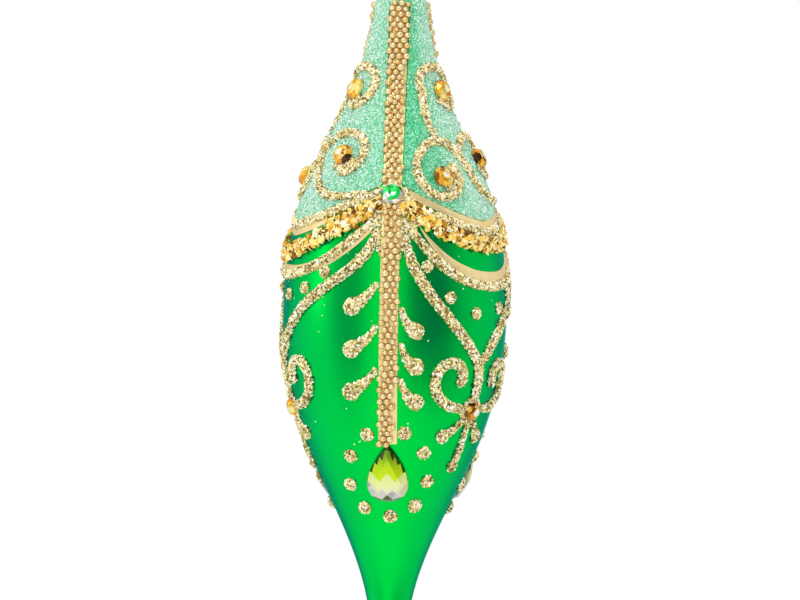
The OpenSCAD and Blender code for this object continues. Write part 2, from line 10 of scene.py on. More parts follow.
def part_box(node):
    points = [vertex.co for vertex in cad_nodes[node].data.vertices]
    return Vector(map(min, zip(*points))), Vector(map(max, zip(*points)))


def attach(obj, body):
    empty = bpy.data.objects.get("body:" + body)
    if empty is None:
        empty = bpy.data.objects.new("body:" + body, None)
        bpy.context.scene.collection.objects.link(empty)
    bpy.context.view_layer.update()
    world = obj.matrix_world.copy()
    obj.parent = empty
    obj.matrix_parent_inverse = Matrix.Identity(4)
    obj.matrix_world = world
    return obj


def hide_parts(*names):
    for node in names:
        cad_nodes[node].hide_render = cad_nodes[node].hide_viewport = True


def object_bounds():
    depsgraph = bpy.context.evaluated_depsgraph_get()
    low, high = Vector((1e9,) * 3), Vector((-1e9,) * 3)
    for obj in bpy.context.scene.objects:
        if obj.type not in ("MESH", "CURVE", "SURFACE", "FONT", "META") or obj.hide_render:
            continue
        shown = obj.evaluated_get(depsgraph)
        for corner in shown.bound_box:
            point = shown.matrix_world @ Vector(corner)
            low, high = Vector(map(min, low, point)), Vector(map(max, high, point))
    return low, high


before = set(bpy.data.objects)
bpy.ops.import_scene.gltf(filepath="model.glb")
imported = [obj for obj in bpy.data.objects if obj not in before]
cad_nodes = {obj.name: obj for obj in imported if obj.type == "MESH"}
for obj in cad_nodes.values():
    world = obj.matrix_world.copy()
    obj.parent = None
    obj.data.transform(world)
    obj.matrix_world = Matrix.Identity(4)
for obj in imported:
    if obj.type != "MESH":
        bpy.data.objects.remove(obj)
cad_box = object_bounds()

MM = 0.001
PANELS = 3
PANEL_TURN = 360 / PANELS

# The tail tip is the lowest point of the glass, and heights on the glass are millimetres above it.
TIP_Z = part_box("glass_body")[0].z

# Height, radius and lean of the glass at its stations, in millimetres.
STATIONS = [
    (1.9, 1.9, 0.02),
    (44, 3.3, 0.08),
    (60.4, 5.45, 0.2),
    (92, 18.2, 0.47),
    (130.5, 27, 0),
    (171.5, 16.2, -0.56),
    (205.3, 5.5, -0.12),
    (217, 5, 0),
    (226, 5, 0),
]
BELLY_H = 130.5
TIP_R = 1.9
RIM_H = 226
GLASS_WALL = 1.0

# Tops of the layers on the glass, half the width of a band, and the stone at its crown, in millimetres.
ENAMEL_TOP = 0.28
COAT_TOP = 0.43
BAND_HALF = 2.25
CROWN_STONE_H = BELLY_H + 27
CROWN_STONE_R = 2.7

# Corners nearer than this are one, in metres.
WELD = 1e-6


# Places on the glass

def panel_turn(panel):
    """Angle in degrees of the band at which a panel begins."""
    return (panel - 1) * PANEL_TURN


def stretch_at(height):
    """The two stations round this height."""
    for low, high in zip(STATIONS, STATIONS[1:]):
        if height <= high[0]:
            return low, high
    return STATIONS[-2], STATIONS[-1]


def glass_radius(height):
    """Radius of the glass in millimetres, on a cubic between two stations."""
    low, high = stretch_at(height)
    span = high[0] - low[0]
    t = (height - low[0]) / span
    start = (2 * t ** 3 - 3 * t ** 2 + 1) * low[1] + (t ** 3 - 2 * t ** 2 + t) * span * low[2]
    end = (3 * t ** 2 - 2 * t ** 3) * high[1] + (t ** 3 - t ** 2) * span * high[2]
    return start + end


def glass_lean(height):
    """Change of the radius with height."""
    step = 0.05
    return (glass_radius(height + step) - glass_radius(height - step)) / (2 * step)


def glass_slope(height):
    """Length along the wall for each millimetre of height."""
    return math.sqrt(1 + glass_lean(height) ** 2)


def on_glass(angle, height, out=0.0):
    """A place at an angle in degrees from the front, this far out of the wall."""
    lean = glass_lean(height)
    slope = math.sqrt(1 + lean ** 2)
    radius = (glass_radius(height) + out / slope) * MM
    rise = (height - out * lean / slope) * MM
    turn = math.radians(angle)
    return Vector((radius * math.sin(turn), -radius * math.cos(turn), TIP_Z + rise))


def arc_angle(length, height):
    """Angle in degrees that spans this length round the glass."""
    return math.degrees(length / glass_radius(height))


# Swags by panel: lowest height above the belly, rise to the band, power, and angle of the lowest place.
UPPER_SWAGS = ((20.5, 8.9, 1.5, 60), (20.5, 8.9, 1.5, 60), (19.8, 9.6, 1.5, 50))
GARLAND_SWAGS = ((15.8, 11.4, 2, 60), (15.8, 11.4, 2, 60), (13, 14.2, 1.7, 44))
LOWER_SWAGS = ((6, 21.7, 2.5, 60), (6, 21.7, 2.5, 60), (7.9, 18.6, 2.3, 48))


def swag_height(swag, angle):
    """Height of a swag at an angle within its panel."""
    low, rise, power, lowest = swag
    span = lowest if angle < lowest else PANEL_TURN - lowest
    return BELLY_H + low + rise * (abs(angle - lowest) / span) ** power


def beside(swag, angle, shift):
    """Angle and height of a place beside a swag, this far square to it."""
    height = swag_height(swag, angle)
    step = 1 if angle < swag[3] else -1
    climb = (swag_height(swag, angle + step) - height) * glass_slope(height)
    tilt = math.atan(climb / (step * math.radians(glass_radius(height))))
    across = arc_angle(shift * math.sin(tilt), height)
    return angle - across, height + shift * math.cos(tilt) / glass_slope(height)


# Working with pieces

def deselect():
    if bpy.context.mode != "OBJECT":
        bpy.ops.object.mode_set(mode="OBJECT")
    bpy.ops.object.select_all(action="DESELECT")


def take(piece):
    """Makes a piece the only one selected."""
    deselect()
    piece.select_set(True)
    bpy.context.view_layer.objects.active = piece


def edit_all():
    """Goes into edit mode with everything selected."""
    bpy.ops.object.mode_set(mode="EDIT")
    bpy.ops.mesh.select_all(action="SELECT")


def leave_edit():
    bpy.ops.object.mode_set(mode="OBJECT")


def weld(piece):
    """Joins the corners of a piece that lie on each other."""
    take(piece)
    edit_all()
    bpy.ops.mesh.remove_doubles(threshold=WELD)
    leave_edit()


def fresh(name):
    """Names the primitive just added, and puts its place into its mesh."""
    piece = bpy.context.object
    piece.name = name
    piece.data.name = name
    bpy.ops.object.transform_apply(location=True, rotation=True, scale=True)
    return piece


def set_out(name, data):
    """An object of its own in the scene."""
    thing = bpy.data.objects.new(name, data)
    bpy.context.scene.collection.objects.link(thing)
    return thing


def thicken(piece, thickness, smooth):
    """Gives a piece its thickness inwards, and smooths its edges up to an angle in degrees."""
    body = piece.modifiers.new("body", "SOLIDIFY")
    body.thickness = thickness * MM
    body.offset = -1
    bpy.ops.object.modifier_apply(modifier=body.name)
    bpy.ops.object.shade_smooth_by_angle(angle=math.radians(smooth))


def note(piece, name, domain, values):
    """Stores a number for each corner or face of a piece."""
    piece.data.attributes.new(name, "FLOAT", domain).data.foreach_set("value", values)


def dress(piece, material):
    """Gives a piece one finish."""
    piece.data.materials.clear()
    piece.data.materials.append(material)


def finish_piece(piece, body, material):
    """Puts a piece on its body and its finish."""
    dress(piece, material)
    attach(piece, body)


def copy_of_node(node, name):
    """A merged copy of a CAD node's mesh, as a piece of its own."""
    mesh = cad_nodes[node].data.copy()
    mesh.name = name
    piece = set_out(name, mesh)
    weld(piece)
    if piece.data.has_custom_normals:
        bpy.ops.mesh.customdata_custom_splitnormals_clear()
    return piece


# Finishes

# Grains of frost and of glitter glue across a metre, for their colour and their bump alike.
FROST_GRIT = 2600
GLITTER_GRIT = 1900


def plug(value, socket):
    """Links a source to a socket, or sets the socket to a plain value."""
    if isinstance(value, bpy.types.NodeSocket):
        socket.id_data.links.new(value, socket)
    else:
        socket.default_value = value


def feed(node, **sockets):
    """Plugs values into a node's sockets by name, such as As_Instance=True."""
    for name, value in sockets.items():
        plug(value, node.inputs[name.replace("_", " ")])
    return node


def sum_on(node, operation, *values):
    """Sets the sum that a node does, and plugs in its values in their order."""
    node.operation = operation
    for socket, value in zip(node.inputs, values):
        plug(value, socket)
    return node


def math_node(tree, operation, *values):
    """One sum on sockets or plain numbers."""
    return sum_on(tree.nodes.new("ShaderNodeMath"), operation, *values).outputs["Value"]


def bearing_of(tree, parts):
    """Bearing round the upright axis, in radians from the front, of a vector in its parts."""
    ahead = math_node(tree, "MULTIPLY", parts.outputs["Y"], -1.0)
    return math_node(tree, "ARCTAN2", parts.outputs["X"], ahead)


def fill_ramp(node, stops):
    """Sets a ramp's stops: each is a position and a colour or a grey."""
    points = node.color_ramp.elements
    while len(points) > 1:
        points.remove(points[-1])
    for index, (position, colour) in enumerate(stops):
        point = points[0] if index == 0 else points.new(position)
        point.position = position
        grey = isinstance(colour, (int, float))
        point.color = (colour, colour, colour, 1) if grey else (*colour, 1)


class Finish:
    """A material with one shader, and its nodes."""

    def __init__(self, name):
        self.material = bpy.data.materials.new(name)
        self.material.use_nodes = True
        self.tree = self.material.node_tree
        self.tree.nodes.clear()
        self.shader = self.add("ShaderNodeBsdfPrincipled")
        feed(self.add("ShaderNodeOutputMaterial"), Surface=self.shader.outputs["BSDF"])

    def add(self, kind):
        return self.tree.nodes.new(kind)

    def set(self, **values):
        """Sets or links sockets of the shader, such as Coat_Weight=0.5."""
        feed(self.shader, **values)

    def place(self):
        """Object coordinates."""
        return self.add("ShaderNodeTexCoord").outputs["Object"]

    def noise(self, scale, detail=2.0):
        node = feed(self.add("ShaderNodeTexNoise"), Vector=self.place(), Scale=scale, Detail=detail)
        return node.outputs["Fac"]

    def cells(self, scale, output="Distance"):
        return feed(self.add("ShaderNodeTexVoronoi"), Vector=self.place(), Scale=scale).outputs[output]

    def calculate(self, operation, *values):
        return math_node(self.tree, operation, *values)

    def panel_share(self):
        """Where a place lies in its panel, from 0 at one band to 1 at the next."""
        parts = feed(self.add("ShaderNodeSeparateXYZ"), Vector=self.place())
        panels = self.calculate("MULTIPLY", bearing_of(self.tree, parts), PANELS / math.tau)
        return self.calculate("FRACT", self.calculate("ADD", panels, 2.0))

    def slant(self):
        """How far aslant a face is seen, from 0 straight on to 1 at its rim."""
        return self.add("ShaderNodeLayerWeight").outputs["Facing"]

    def blend(self, share, first, second, how="MIX"):
        """A share of the second colour over the first."""
        node = self.add("ShaderNodeMix")
        node.data_type = "RGBA"
        node.blend_type = how
        return feed(node, Factor=share, A=first, B=second).outputs["Result"]

    def attribute(self, name):
        node = self.add("ShaderNodeAttribute")
        node.attribute_name = name
        return node.outputs["Fac"]

    def ramp(self, source, *stops, steps=False):
        """Colours or greys along a value, blended or in steps."""
        node = feed(self.add("ShaderNodeValToRGB"), Fac=source)
        if steps:
            node.color_ramp.interpolation = "CONSTANT"
        fill_ramp(node, stops)
        return node.outputs["Color"]

    def uneven(self, scale, low, high, detail=2.0):
        """Noise between two colours or greys."""
        return self.ramp(self.noise(scale, detail), (0.3, low), (0.7, high))

    def bump(self, height, distance, strength):
        node = feed(self.add("ShaderNodeBump"), Height=height, Distance=distance, Strength=strength)
        self.set(Normal=node.outputs["Normal"])


def satin_green():
    """Pearl lacquer on silvered glass."""
    finish = Finish("satin_green_lacquer")
    finish.set(
        Base_Color=finish.uneven(45, (0.0, 0.72, 0.030), (0.0, 0.78, 0.035)),
        Roughness=finish.uneven(160, 0.26, 0.30, detail=3),
        Metallic=0.95, Specular_Tint=(0.0, 0.6, 0.7, 1), IOR=1.3,
        Sheen_Weight=0.12, Sheen_Roughness=0.85, Sheen_Tint=(0.0, 0.2, 1.0, 1),
    )
    return finish.material


# Painted light across a panel: the frost is painted vivid green in the shade just past the band, pale where
# the key light falls further round, and less pale before the next band.
FROST_LIGHT_SHARES = ((0.0, 0.1), (0.05, 0.12), (0.2, 0.2), (0.36, 0.6), (0.75, 0.66), (1.0, 0.42))


def frost_ground():
    """The glued green ground that carries the frost, with painted light: paler where the key light falls
    across the panel, and a painted sheen paler where it is seen aslant.
    """
    finish = Finish("mint_frost_ground")
    grit = finish.cells(FROST_GRIT, "Color")
    vivid = finish.ramp(grit, (0.0, (0.0, 0.28, 0.09)), (0.5, (0.0, 0.54, 0.19)), (1.0, (0.12, 0.84, 0.42)))
    mint = finish.ramp(grit, (0.0, (0.09, 0.38, 0.22)), (0.5, (0.36, 0.60, 0.45)), (1.0, (0.82, 0.88, 0.83)))
    # Painted light: how pale the ground is painted where the key light falls across the panel.
    painted_light = finish.ramp(finish.panel_share(), *FROST_LIGHT_SHARES)
    # Painted sheen: the ground is painted paler towards the rim where it is seen aslant.
    edge = finish.ramp(finish.slant(), (0.25, 0.0), (0.95, 1.0))
    painted_pale = finish.calculate("ADD", painted_light, edge)
    painted_pale.node.use_clamp = True
    finish.bump(finish.cells(FROST_GRIT), 0.0001, 0.7)
    finish.set(Base_Color=finish.blend(painted_pale, vivid, mint), Roughness=finish.uneven(900, 0.3, 0.45))
    finish.set(Metallic=0.1, Sheen_Weight=0.5, Sheen_Roughness=0.35)
    return finish.material


def frost_grain():
    """Fine crushed glass over green."""
    finish = Finish("mint_frost_grain")
    # Painted light: grains are painted paler where the key light falls across the panel.
    painted_light = finish.ramp(finish.panel_share(), *FROST_LIGHT_SHARES)
    tone = finish.calculate("ADD", finish.attribute("fleck"), finish.calculate("MULTIPLY", painted_light, 0.45))
    colour = finish.ramp(
        finish.calculate("MULTIPLY", tone, 0.75),
        (0.0, (0.0, 0.28, 0.10)), (0.3, (0.02, 0.52, 0.22)),
        (0.6, (0.32, 0.70, 0.50)), (0.85, (0.97, 0.98, 0.96)),
    )
    rough = finish.ramp(finish.attribute("fleck"), (0.0, 0.35), (1.0, 0.12))
    finish.set(Base_Color=colour, Roughness=rough, IOR=1.55)
    return finish.material


def glitter_glue():
    """The tinted glue under the gold glitter."""
    finish = Finish("gold_glitter_ground")
    speck = finish.ramp(
        finish.cells(GLITTER_GRIT, "Color"),
        (0.0, (0.20, 0.13, 0.02)), (0.5, (0.52, 0.40, 0.11)), (1.0, (0.88, 0.72, 0.34)),
    )
    finish.bump(finish.cells(GLITTER_GRIT), 0.00015, 0.7)
    finish.set(Base_Color=speck, Roughness=finish.uneven(1200, 0.3, 0.5), Metallic=0.1)
    return finish.material


def loose_foil(name, metallic, dull, bright, *tones):
    """Loose foil: each piece has its own tone, and is rougher where it is dull."""
    finish = Finish(name)
    fleck = finish.attribute("fleck")
    rough = finish.ramp(fleck, (0.0, dull), (1.0, bright))
    finish.set(Base_Color=finish.ramp(fleck, *tones), Roughness=rough, Metallic=metallic)
    return finish.material


def glitter_fleck():
    """Cut foil flecks, from olive brown to cream."""
    return loose_foil(
        "gold_glitter_fleck", 0.12, 0.35, 0.2,
        (0.0, (0.09, 0.05, 0.005)), (0.14, (0.28, 0.19, 0.03)), (0.3, (0.66, 0.51, 0.15)),
        (0.5, (0.92, 0.79, 0.35)), (0.7, (1.0, 0.92, 0.55)), (0.88, (1.0, 1.0, 0.93)),
    )


def gold_bead():
    """Satin gold on small beads, painted darker towards their rims as painted shade and reflection."""
    finish = Finish("satin_gold_bead")
    tone = finish.ramp(finish.attribute("tone"), (0.0, (0.88, 0.62, 0.25)), (1.0, (1.0, 0.86, 0.48)))
    # Painted shade: darker, browner towards each bead's rim, where beads shade each other and mirror dark
    # surroundings.
    painted_rim = finish.ramp(finish.slant(), (0.22, 1.0), (0.7, (0.60, 0.42, 0.18)))
    colour = finish.blend(1.0, tone, painted_rim, "MULTIPLY")
    finish.set(Base_Color=colour, Roughness=finish.uneven(1500, 0.22, 0.3), Metallic=0.55)
    return finish.material


def gold_enamel():
    """Brushed-on gold paint."""
    finish = Finish("gold_enamel")
    tint = finish.uneven(350, (1.0, 0.73, 0.31), (1.0, 0.85, 0.46), detail=3)
    finish.bump(finish.noise(1400, 3), 0.00002, 0.4)
    finish.set(Base_Color=tint, Roughness=finish.uneven(700, 0.3, 0.42), Metallic=0.6)
    return finish.material


def foil_chip():
    """Crushed amber-gold foil."""
    return loose_foil(
        "gold_foil_chip", 0.3, 0.25, 0.12,
        (0.0, (0.14, 0.05, 0.004)), (0.12, (0.46, 0.19, 0.01)), (0.28, (0.94, 0.55, 0.06)),
        (0.5, (1.0, 0.76, 0.20)), (0.78, (1.0, 0.90, 0.40)), (1.0, (1.0, 1.0, 0.80)),
    )


def cut_stone(name, *palette):
    """A foiled stone: each facet is painted one colour of its palette under clear glass; the palette holds
    the stone's own colour and its painted reflections and glints.
    """
    finish = Finish(name)
    stops = [(index / len(palette), colour) for index, colour in enumerate(palette)]
    finish.set(Base_Color=finish.ramp(finish.attribute("facet"), *stops, steps=True))
    finish.set(Metallic=0.5, Roughness=0.16, Coat_Weight=0.3, Coat_Roughness=0.02, IOR=1.6)
    return finish.material


def pressed_gold():
    """Thin pressed cap metal."""
    finish = Finish("pressed_cap_gold")
    tint = finish.uneven(240, (0.76, 0.50, 0.16), (0.92, 0.68, 0.30), detail=3)
    finish.bump(finish.noise(1800), 0.00002, 0.5)
    finish.set(Base_Color=tint, Roughness=finish.uneven(800, 0.2, 0.36, detail=3), Metallic=1.0)
    return finish.material


def drawn_wire():
    """Drawn steel wire."""
    finish = Finish("drawn_wire_steel")
    tint = finish.uneven(900, (0.50, 0.50, 0.50), (0.68, 0.67, 0.65))
    finish.set(Base_Color=tint, Roughness=finish.uneven(2000, 0.18, 0.32), Metallic=1.0)
    return finish.material


# Glass

GLASS_SIDES = 144
TIP_RINGS = 8
RING_STEP = 1.9
# How far above the lowest ring a corner still counts as on it, in millimetres.
RING_SPARE = 1e-4


def glass_profile():
    """Radius and height of each ring of the glass, from the tail tip up."""
    rings = []
    for step in range(1, TIP_RINGS):
        turn = math.radians(90 * step / TIP_RINGS)
        rings.append((TIP_R * math.sin(turn), TIP_R * (1 - math.cos(turn))))
    height = TIP_R
    while height < RIM_H - RING_STEP / 2:
        rings.append((glass_radius(height), height))
        height += RING_STEP
    rings.append((glass_radius(RIM_H), RIM_H))
    return rings


def blow_glass(material):
    """The hollow body: a ring drawn up along the profile, then given its wall."""
    rings = glass_profile()
    radius, height = rings[0]
    deselect()
    foot = (0, 0, TIP_Z + height * MM)
    bpy.ops.mesh.primitive_circle_add(vertices=GLASS_SIDES, radius=radius * MM, location=foot)
    piece = fresh("satin_glass")
    edit_all()
    for next_radius, next_height in rings[1:]:
        rise = (next_height - height) * MM
        grow = next_radius / radius
        bpy.ops.mesh.extrude_region_move(TRANSFORM_OT_translate={"value": (0, 0, rise)})
        bpy.ops.transform.resize(value=(grow, grow, 1), center_override=(0, 0, TIP_Z + next_height * MM))
        radius, height = next_radius, next_height
    leave_edit()
    for vertex in piece.data.vertices:
        vertex.select = vertex.co.z < TIP_Z + (rings[0][1] + RING_SPARE) * MM
    bpy.ops.object.mode_set(mode="EDIT")
    bpy.ops.mesh.select_mode(type="VERT")
    bpy.ops.mesh.extrude_region_move(TRANSFORM_OT_translate={"value": (0, 0, -rings[0][1] * MM)})
    bpy.ops.mesh.merge(type="CENTER")
    bpy.ops.mesh.select_all(action="SELECT")
    bpy.ops.mesh.normals_make_consistent(inside=False)
    leave_edit()
    thicken(piece, GLASS_WALL, smooth=50)
    finish_piece(piece, "ornament", material)
    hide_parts("glass_body")


# Glitter, frost and chips

# How far a face may look back towards the axis and still be strewn.
FACING_LEAST = -0.25


def crumpled(name, jitter, seed):
    """Names the small shape just added, and shifts its corners at random."""
    shape = fresh(name)
    edit_all()
    bpy.ops.transform.vertex_random(offset=jitter * MM, seed=seed)
    leave_edit()
    return shape


def foil_fleck():
    """One fleck of foil: a small uneven five-sided plate."""
    deselect()
    bpy.ops.mesh.primitive_cylinder_add(vertices=5, radius=0.5 * MM, depth=0.2 * MM)
    return crumpled("foil_fleck", jitter=0.09, seed=4)


def frost_crumb():
    """One crumb of crushed glass: an uneven pyramid."""
    deselect()
    bpy.ops.mesh.primitive_cone_add(vertices=3, radius1=0.55 * MM, depth=0.8 * MM)
    return crumpled("frost_crumb", jitter=0.1, seed=9)


def foil_flake():
    """One flake of the garlands: a bent plate of foil."""
    deselect()
    bpy.ops.mesh.primitive_cylinder_add(vertices=6, radius=0.5 * MM, depth=0.12 * MM)
    edit_all()
    bpy.ops.transform.resize(value=(1.0, 0.78, 1.0))
    bpy.ops.mesh.poke(offset=0.06 * MM)
    leave_edit()
    return crumpled("foil_flake", jitter=0.08, seed=2)


class Sprinkle:
    """Nodes that sprinkle a small shape over the outward faces of a piece."""

    def __init__(self, name, shape, material, per_mm2, smallest, largest, tilt, lift, seed, darkest=0.0):
        self.tree = bpy.data.node_groups.new(name, "GeometryNodeTree")
        for way in ("INPUT", "OUTPUT"):
            self.tree.interface.new_socket("Geometry", in_out=way, socket_type="NodeSocketGeometry")
        ground = self.add("NodeGroupInput").outputs["Geometry"]
        points = self.add("GeometryNodeDistributePointsOnFaces")
        points.distribute_method = "RANDOM"
        feed(points, Mesh=ground, Selection=self.facing_out(), Density=per_mm2 / MM ** 2, Seed=seed)
        offset = self.add("ShaderNodeVectorMath")
        offset.operation = "SCALE"
        feed(offset, Vector=points.outputs["Normal"], Scale=lift * MM)
        raised = self.add("GeometryNodeSetPosition")
        feed(raised, Geometry=points.outputs["Points"], Offset=offset.outputs["Vector"])
        source = feed(self.add("GeometryNodeObjectInfo"), Object=shape, As_Instance=True)
        copies = feed(
            self.add("GeometryNodeInstanceOnPoints"),
            Points=raised.outputs["Geometry"], Instance=source.outputs["Geometry"],
            Rotation=self.turned(points.outputs["Rotation"], tilt, seed),
            Scale=self.random("FLOAT", smallest, largest, seed + 2),
        )
        tone = self.add("GeometryNodeStoreNamedAttribute")
        tone.data_type = "FLOAT"
        tone.domain = "INSTANCE"
        shade = self.random("FLOAT", darkest, 1.0, seed + 3)
        feed(tone, Geometry=copies.outputs["Instances"], Name="fleck", Value=shade)
        real = feed(self.add("GeometryNodeRealizeInstances"), Geometry=tone.outputs["Geometry"])
        coat = self.add("GeometryNodeSetMaterial")
        feed(coat, Geometry=real.outputs["Geometry"], Material=material)
        feed(self.add("NodeGroupOutput"), Geometry=coat.outputs["Geometry"])

    def add(self, kind):
        return self.tree.nodes.new(kind)

    def vectors(self, operation, *values):
        """One sum on vectors."""
        return sum_on(self.add("ShaderNodeVectorMath"), operation, *values).outputs

    def facing_out(self):
        """True where a face looks away from the axis of the ornament."""
        place = self.add("GeometryNodeInputPosition").outputs["Position"]
        flat = self.vectors("MULTIPLY", place, (1, 1, 0))["Vector"]
        outward = self.vectors("NORMALIZE", flat)["Vector"]
        normal = self.add("GeometryNodeInputNormal").outputs["Normal"]
        test = self.add("FunctionNodeCompare")
        test.data_type = "FLOAT"
        test.operation = "GREATER_THAN"
        feed(test, A=self.vectors("DOT_PRODUCT", normal, outward)["Value"], B=FACING_LEAST)
        return test.outputs["Result"]

    def random(self, kind, low, high, seed):
        node = self.add("FunctionNodeRandomValue")
        node.data_type = kind
        sockets = [s for s in node.inputs if s.enabled and s.name in ("Min", "Max")]
        plug(low, sockets[0])
        plug(high, sockets[1])
        feed(node, Seed=seed)
        return [s for s in node.outputs if s.enabled][0]

    def turned(self, rotation, tilt, seed):
        """A random lean and spin about the normal."""
        lean = math.radians(tilt)
        spin = self.random("FLOAT_VECTOR", (-lean, -lean, 0), (lean, lean, math.tau), seed + 1)
        angles = feed(self.add("FunctionNodeEulerToRotation"), Euler=spin)
        turn = self.add("FunctionNodeRotateRotation")
        turn.rotation_space = "LOCAL"
        return feed(turn, Rotation=rotation, Rotate_By=angles.outputs["Rotation"]).outputs["Rotation"]


def keep_inside(piece):
    """Draws corners that stand proud of the CAD box back onto it."""
    low, high = cad_box
    for vertex in piece.data.vertices:
        vertex.co.x = min(max(vertex.co.x, low.x), high.x)
        vertex.co.y = min(max(vertex.co.y, low.y), high.y)


def sprinkle(piece, name, slot, **values):
    """Sprinkles a shape over a piece, and keeps only what was sprinkled."""
    take(piece)
    modifier = piece.modifiers.new("sprinkle", "NODES")
    modifier.node_group = Sprinkle(name + "_nodes", **values).tree
    bpy.ops.object.modifier_apply(modifier=modifier.name)
    piece.name = name
    piece.data.name = name
    keep_inside(piece)
    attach(piece, "ornament")


def ground_of(node):
    """A copy of a CAD node to sprinkle on."""
    return set_out(node + "_ground", cad_nodes[node].data.copy())


def patch(name, across, up, place):
    """A patch of wall: a grid whose corners are set by a rule over its two shares."""
    deselect()
    bpy.ops.mesh.primitive_grid_add(x_subdivisions=across, y_subdivisions=up, size=1)
    piece = fresh(name)
    for vertex in piece.data.vertices:
        vertex.co = place(vertex.co.x + 0.5, vertex.co.y + 0.5)
    return piece


def round_about(angle, middle, reach, bearing, out, side=1):
    """A place on the wall at a reach and bearing from a middle place, mirrored where side is -1."""
    height = middle + reach * math.sin(bearing) / glass_slope(middle)
    return on_glass(angle + arc_angle(side * reach * math.cos(bearing), height), height, out)


# Fan beside a band: heights above the belly, widths by side, the sine that shapes it, and how far out it is.
FAN_LOW = 12.5
FAN_HIGH = 26.5
FAN_FOOT = 0.5
FAN_HEADS = {-1: 3.2, 1: 4.8}
FAN_TURN = 150
FAN_POWER = 1.3
FAN_OUT = 0.2


def fan_ground(panel, side):
    """The fan of loose glitter beside a band, from the crown stone down."""
    def place(across, up):
        height = BELLY_H + FAN_LOW + (FAN_HIGH - FAN_LOW) * up
        swell = math.sin(math.radians(FAN_TURN * up ** FAN_POWER))
        wide = FAN_FOOT + (FAN_HEADS[side] - FAN_FOOT) * swell
        out = across if side > 0 else 1 - across
        arc = side * (BAND_HALF + wide * out)
        return on_glass(panel_turn(panel) + arc_angle(arc, height), height, FAN_OUT)

    return patch("fan_ground", 6, 16, place)


# Crescent beside a crown stone: gap, width, first bearing, turn in degrees, and how far out it lies.
CRESCENT_GAP = 0.1
CRESCENT_WIDE = 1.3
CRESCENT_START = -45
CRESCENT_TURN = 80
CRESCENT_OUT = 0.25


def crescent_ground(panel, side):
    """The crescent of loose glitter on one side of a crown stone."""
    def place(across, up):
        out = across if side > 0 else 1 - across
        reach = CROWN_STONE_R + CRESCENT_GAP + CRESCENT_WIDE * out
        bearing = math.radians(CRESCENT_START + CRESCENT_TURN * up)
        return round_about(panel_turn(panel), CROWN_STONE_H, reach, bearing, CRESCENT_OUT, side)

    return patch("crescent_ground", 4, 10, place)


# Where the lower scroll of each panel forks, and the stone under it: angle and height above the belly.
SCROLL_TURNS = (0, 0, -13)
FORK = (53, -13)
OTHER_VINE = (57.2, -11.3)
TASSEL_STONE = (54, -23.7)
TASSEL_STONE_R = 2.2
# The ring of glitter round that stone: how far it reaches under it, its width, and how far out it lies.
KNOT_TUCK = 0.3
KNOT_WIDE = 1.5
KNOT_OUT = 0.2
# Where the lines of the upper scroll meet: the foot of its hook, and the root of its vine at the ridge.
HOOK_FOOT = (33.6, 42.6)
CURL_TOP = (32.4, 39.6)
VINE_ROOT = (95, 27)
RIDGE_TOP = (105, 26.9)
# Widths of the joints, and how far out they lie.
JOINT_WIDE = 1.8
ROOT_WIDE = 1.6
JOINT_OUT = 0.5
ROOT_OUT = 0.4


def scroll_turn(panel):
    """Angle in degrees at which a panel's lower scroll begins."""
    return panel_turn(panel) + SCROLL_TURNS[panel - 1]


def knot_ground(panel):
    """The ring of glitter round the stone of a lower scroll."""
    angle = scroll_turn(panel) + TASSEL_STONE[0]

    def place(across, up):
        reach = TASSEL_STONE_R - KNOT_TUCK + KNOT_WIDE * up
        return round_about(angle, BELLY_H + TASSEL_STONE[1], reach, math.tau * across, KNOT_OUT, -1)

    return patch("knot_ground", 24, 3, place)


def joint_ground(turn, start, end, wide, out):
    """A short run of glitter that joins two lines of a scroll."""
    rise = end[1] - start[1]
    run = math.radians(end[0] - start[0]) * glass_radius(BELLY_H + start[1])
    length = math.hypot(run, rise)

    def place(across, up):
        side = wide * (up - 0.5)
        height = BELLY_H + start[1] + rise * across + side * run / length
        angle = start[0] + (end[0] - start[0]) * across - arc_angle(side * rise / length, height)
        return on_glass(turn + angle, height, out)

    return patch("joint_ground", 6, 3, place)


# Stones of the upper scroll: angle, height above the belly, and the bearings between which its line ends.
NESTS = ((33, 31.4, -85, 55), (81.5, 36.2, -135, -15), (62, 52.4, -140, -30))
NEST_LOW = 2.5
NEST_HIGH = 4.0
NEST_OUT = COAT_TOP + 0.3


def nest_ground(panel, nest):
    """The glitter that ties the end of a volute to its stone."""
    angle, above, start, end = nest

    def place(across, up):
        reach = NEST_LOW + (NEST_HIGH - NEST_LOW) * across
        bearing = math.radians(start + (end - start) * up)
        return round_about(panel_turn(panel) + angle, BELLY_H + above, reach, bearing, NEST_OUT)

    return patch("nest_ground", 3, 12, place)


# Drops beside a band, by side: height of the first head above the belly, pitch,
# and arc and rise of head, bow and tail.
COMMAS = {
    -1: (0.5, 10.1, (9.0, 0.0), (5.2, 2.0), (3.0, 5.2)),
    1: (-5.1, 8.4, (6.6, 0.0), (4.0, 1.4), (2.9, 5.0)),
}
COMMAS_IN_ROW = 3
# Half widths of a drop at its tail and head, how it swells, and how far out it lies.
COMMA_TAIL = 0.6
COMMA_HEAD = 2.0
COMMA_SWELL = 1.6
COMMA_OUT = 0.3
# The step along a drop that gives its direction.
COMMA_STEP = 0.01


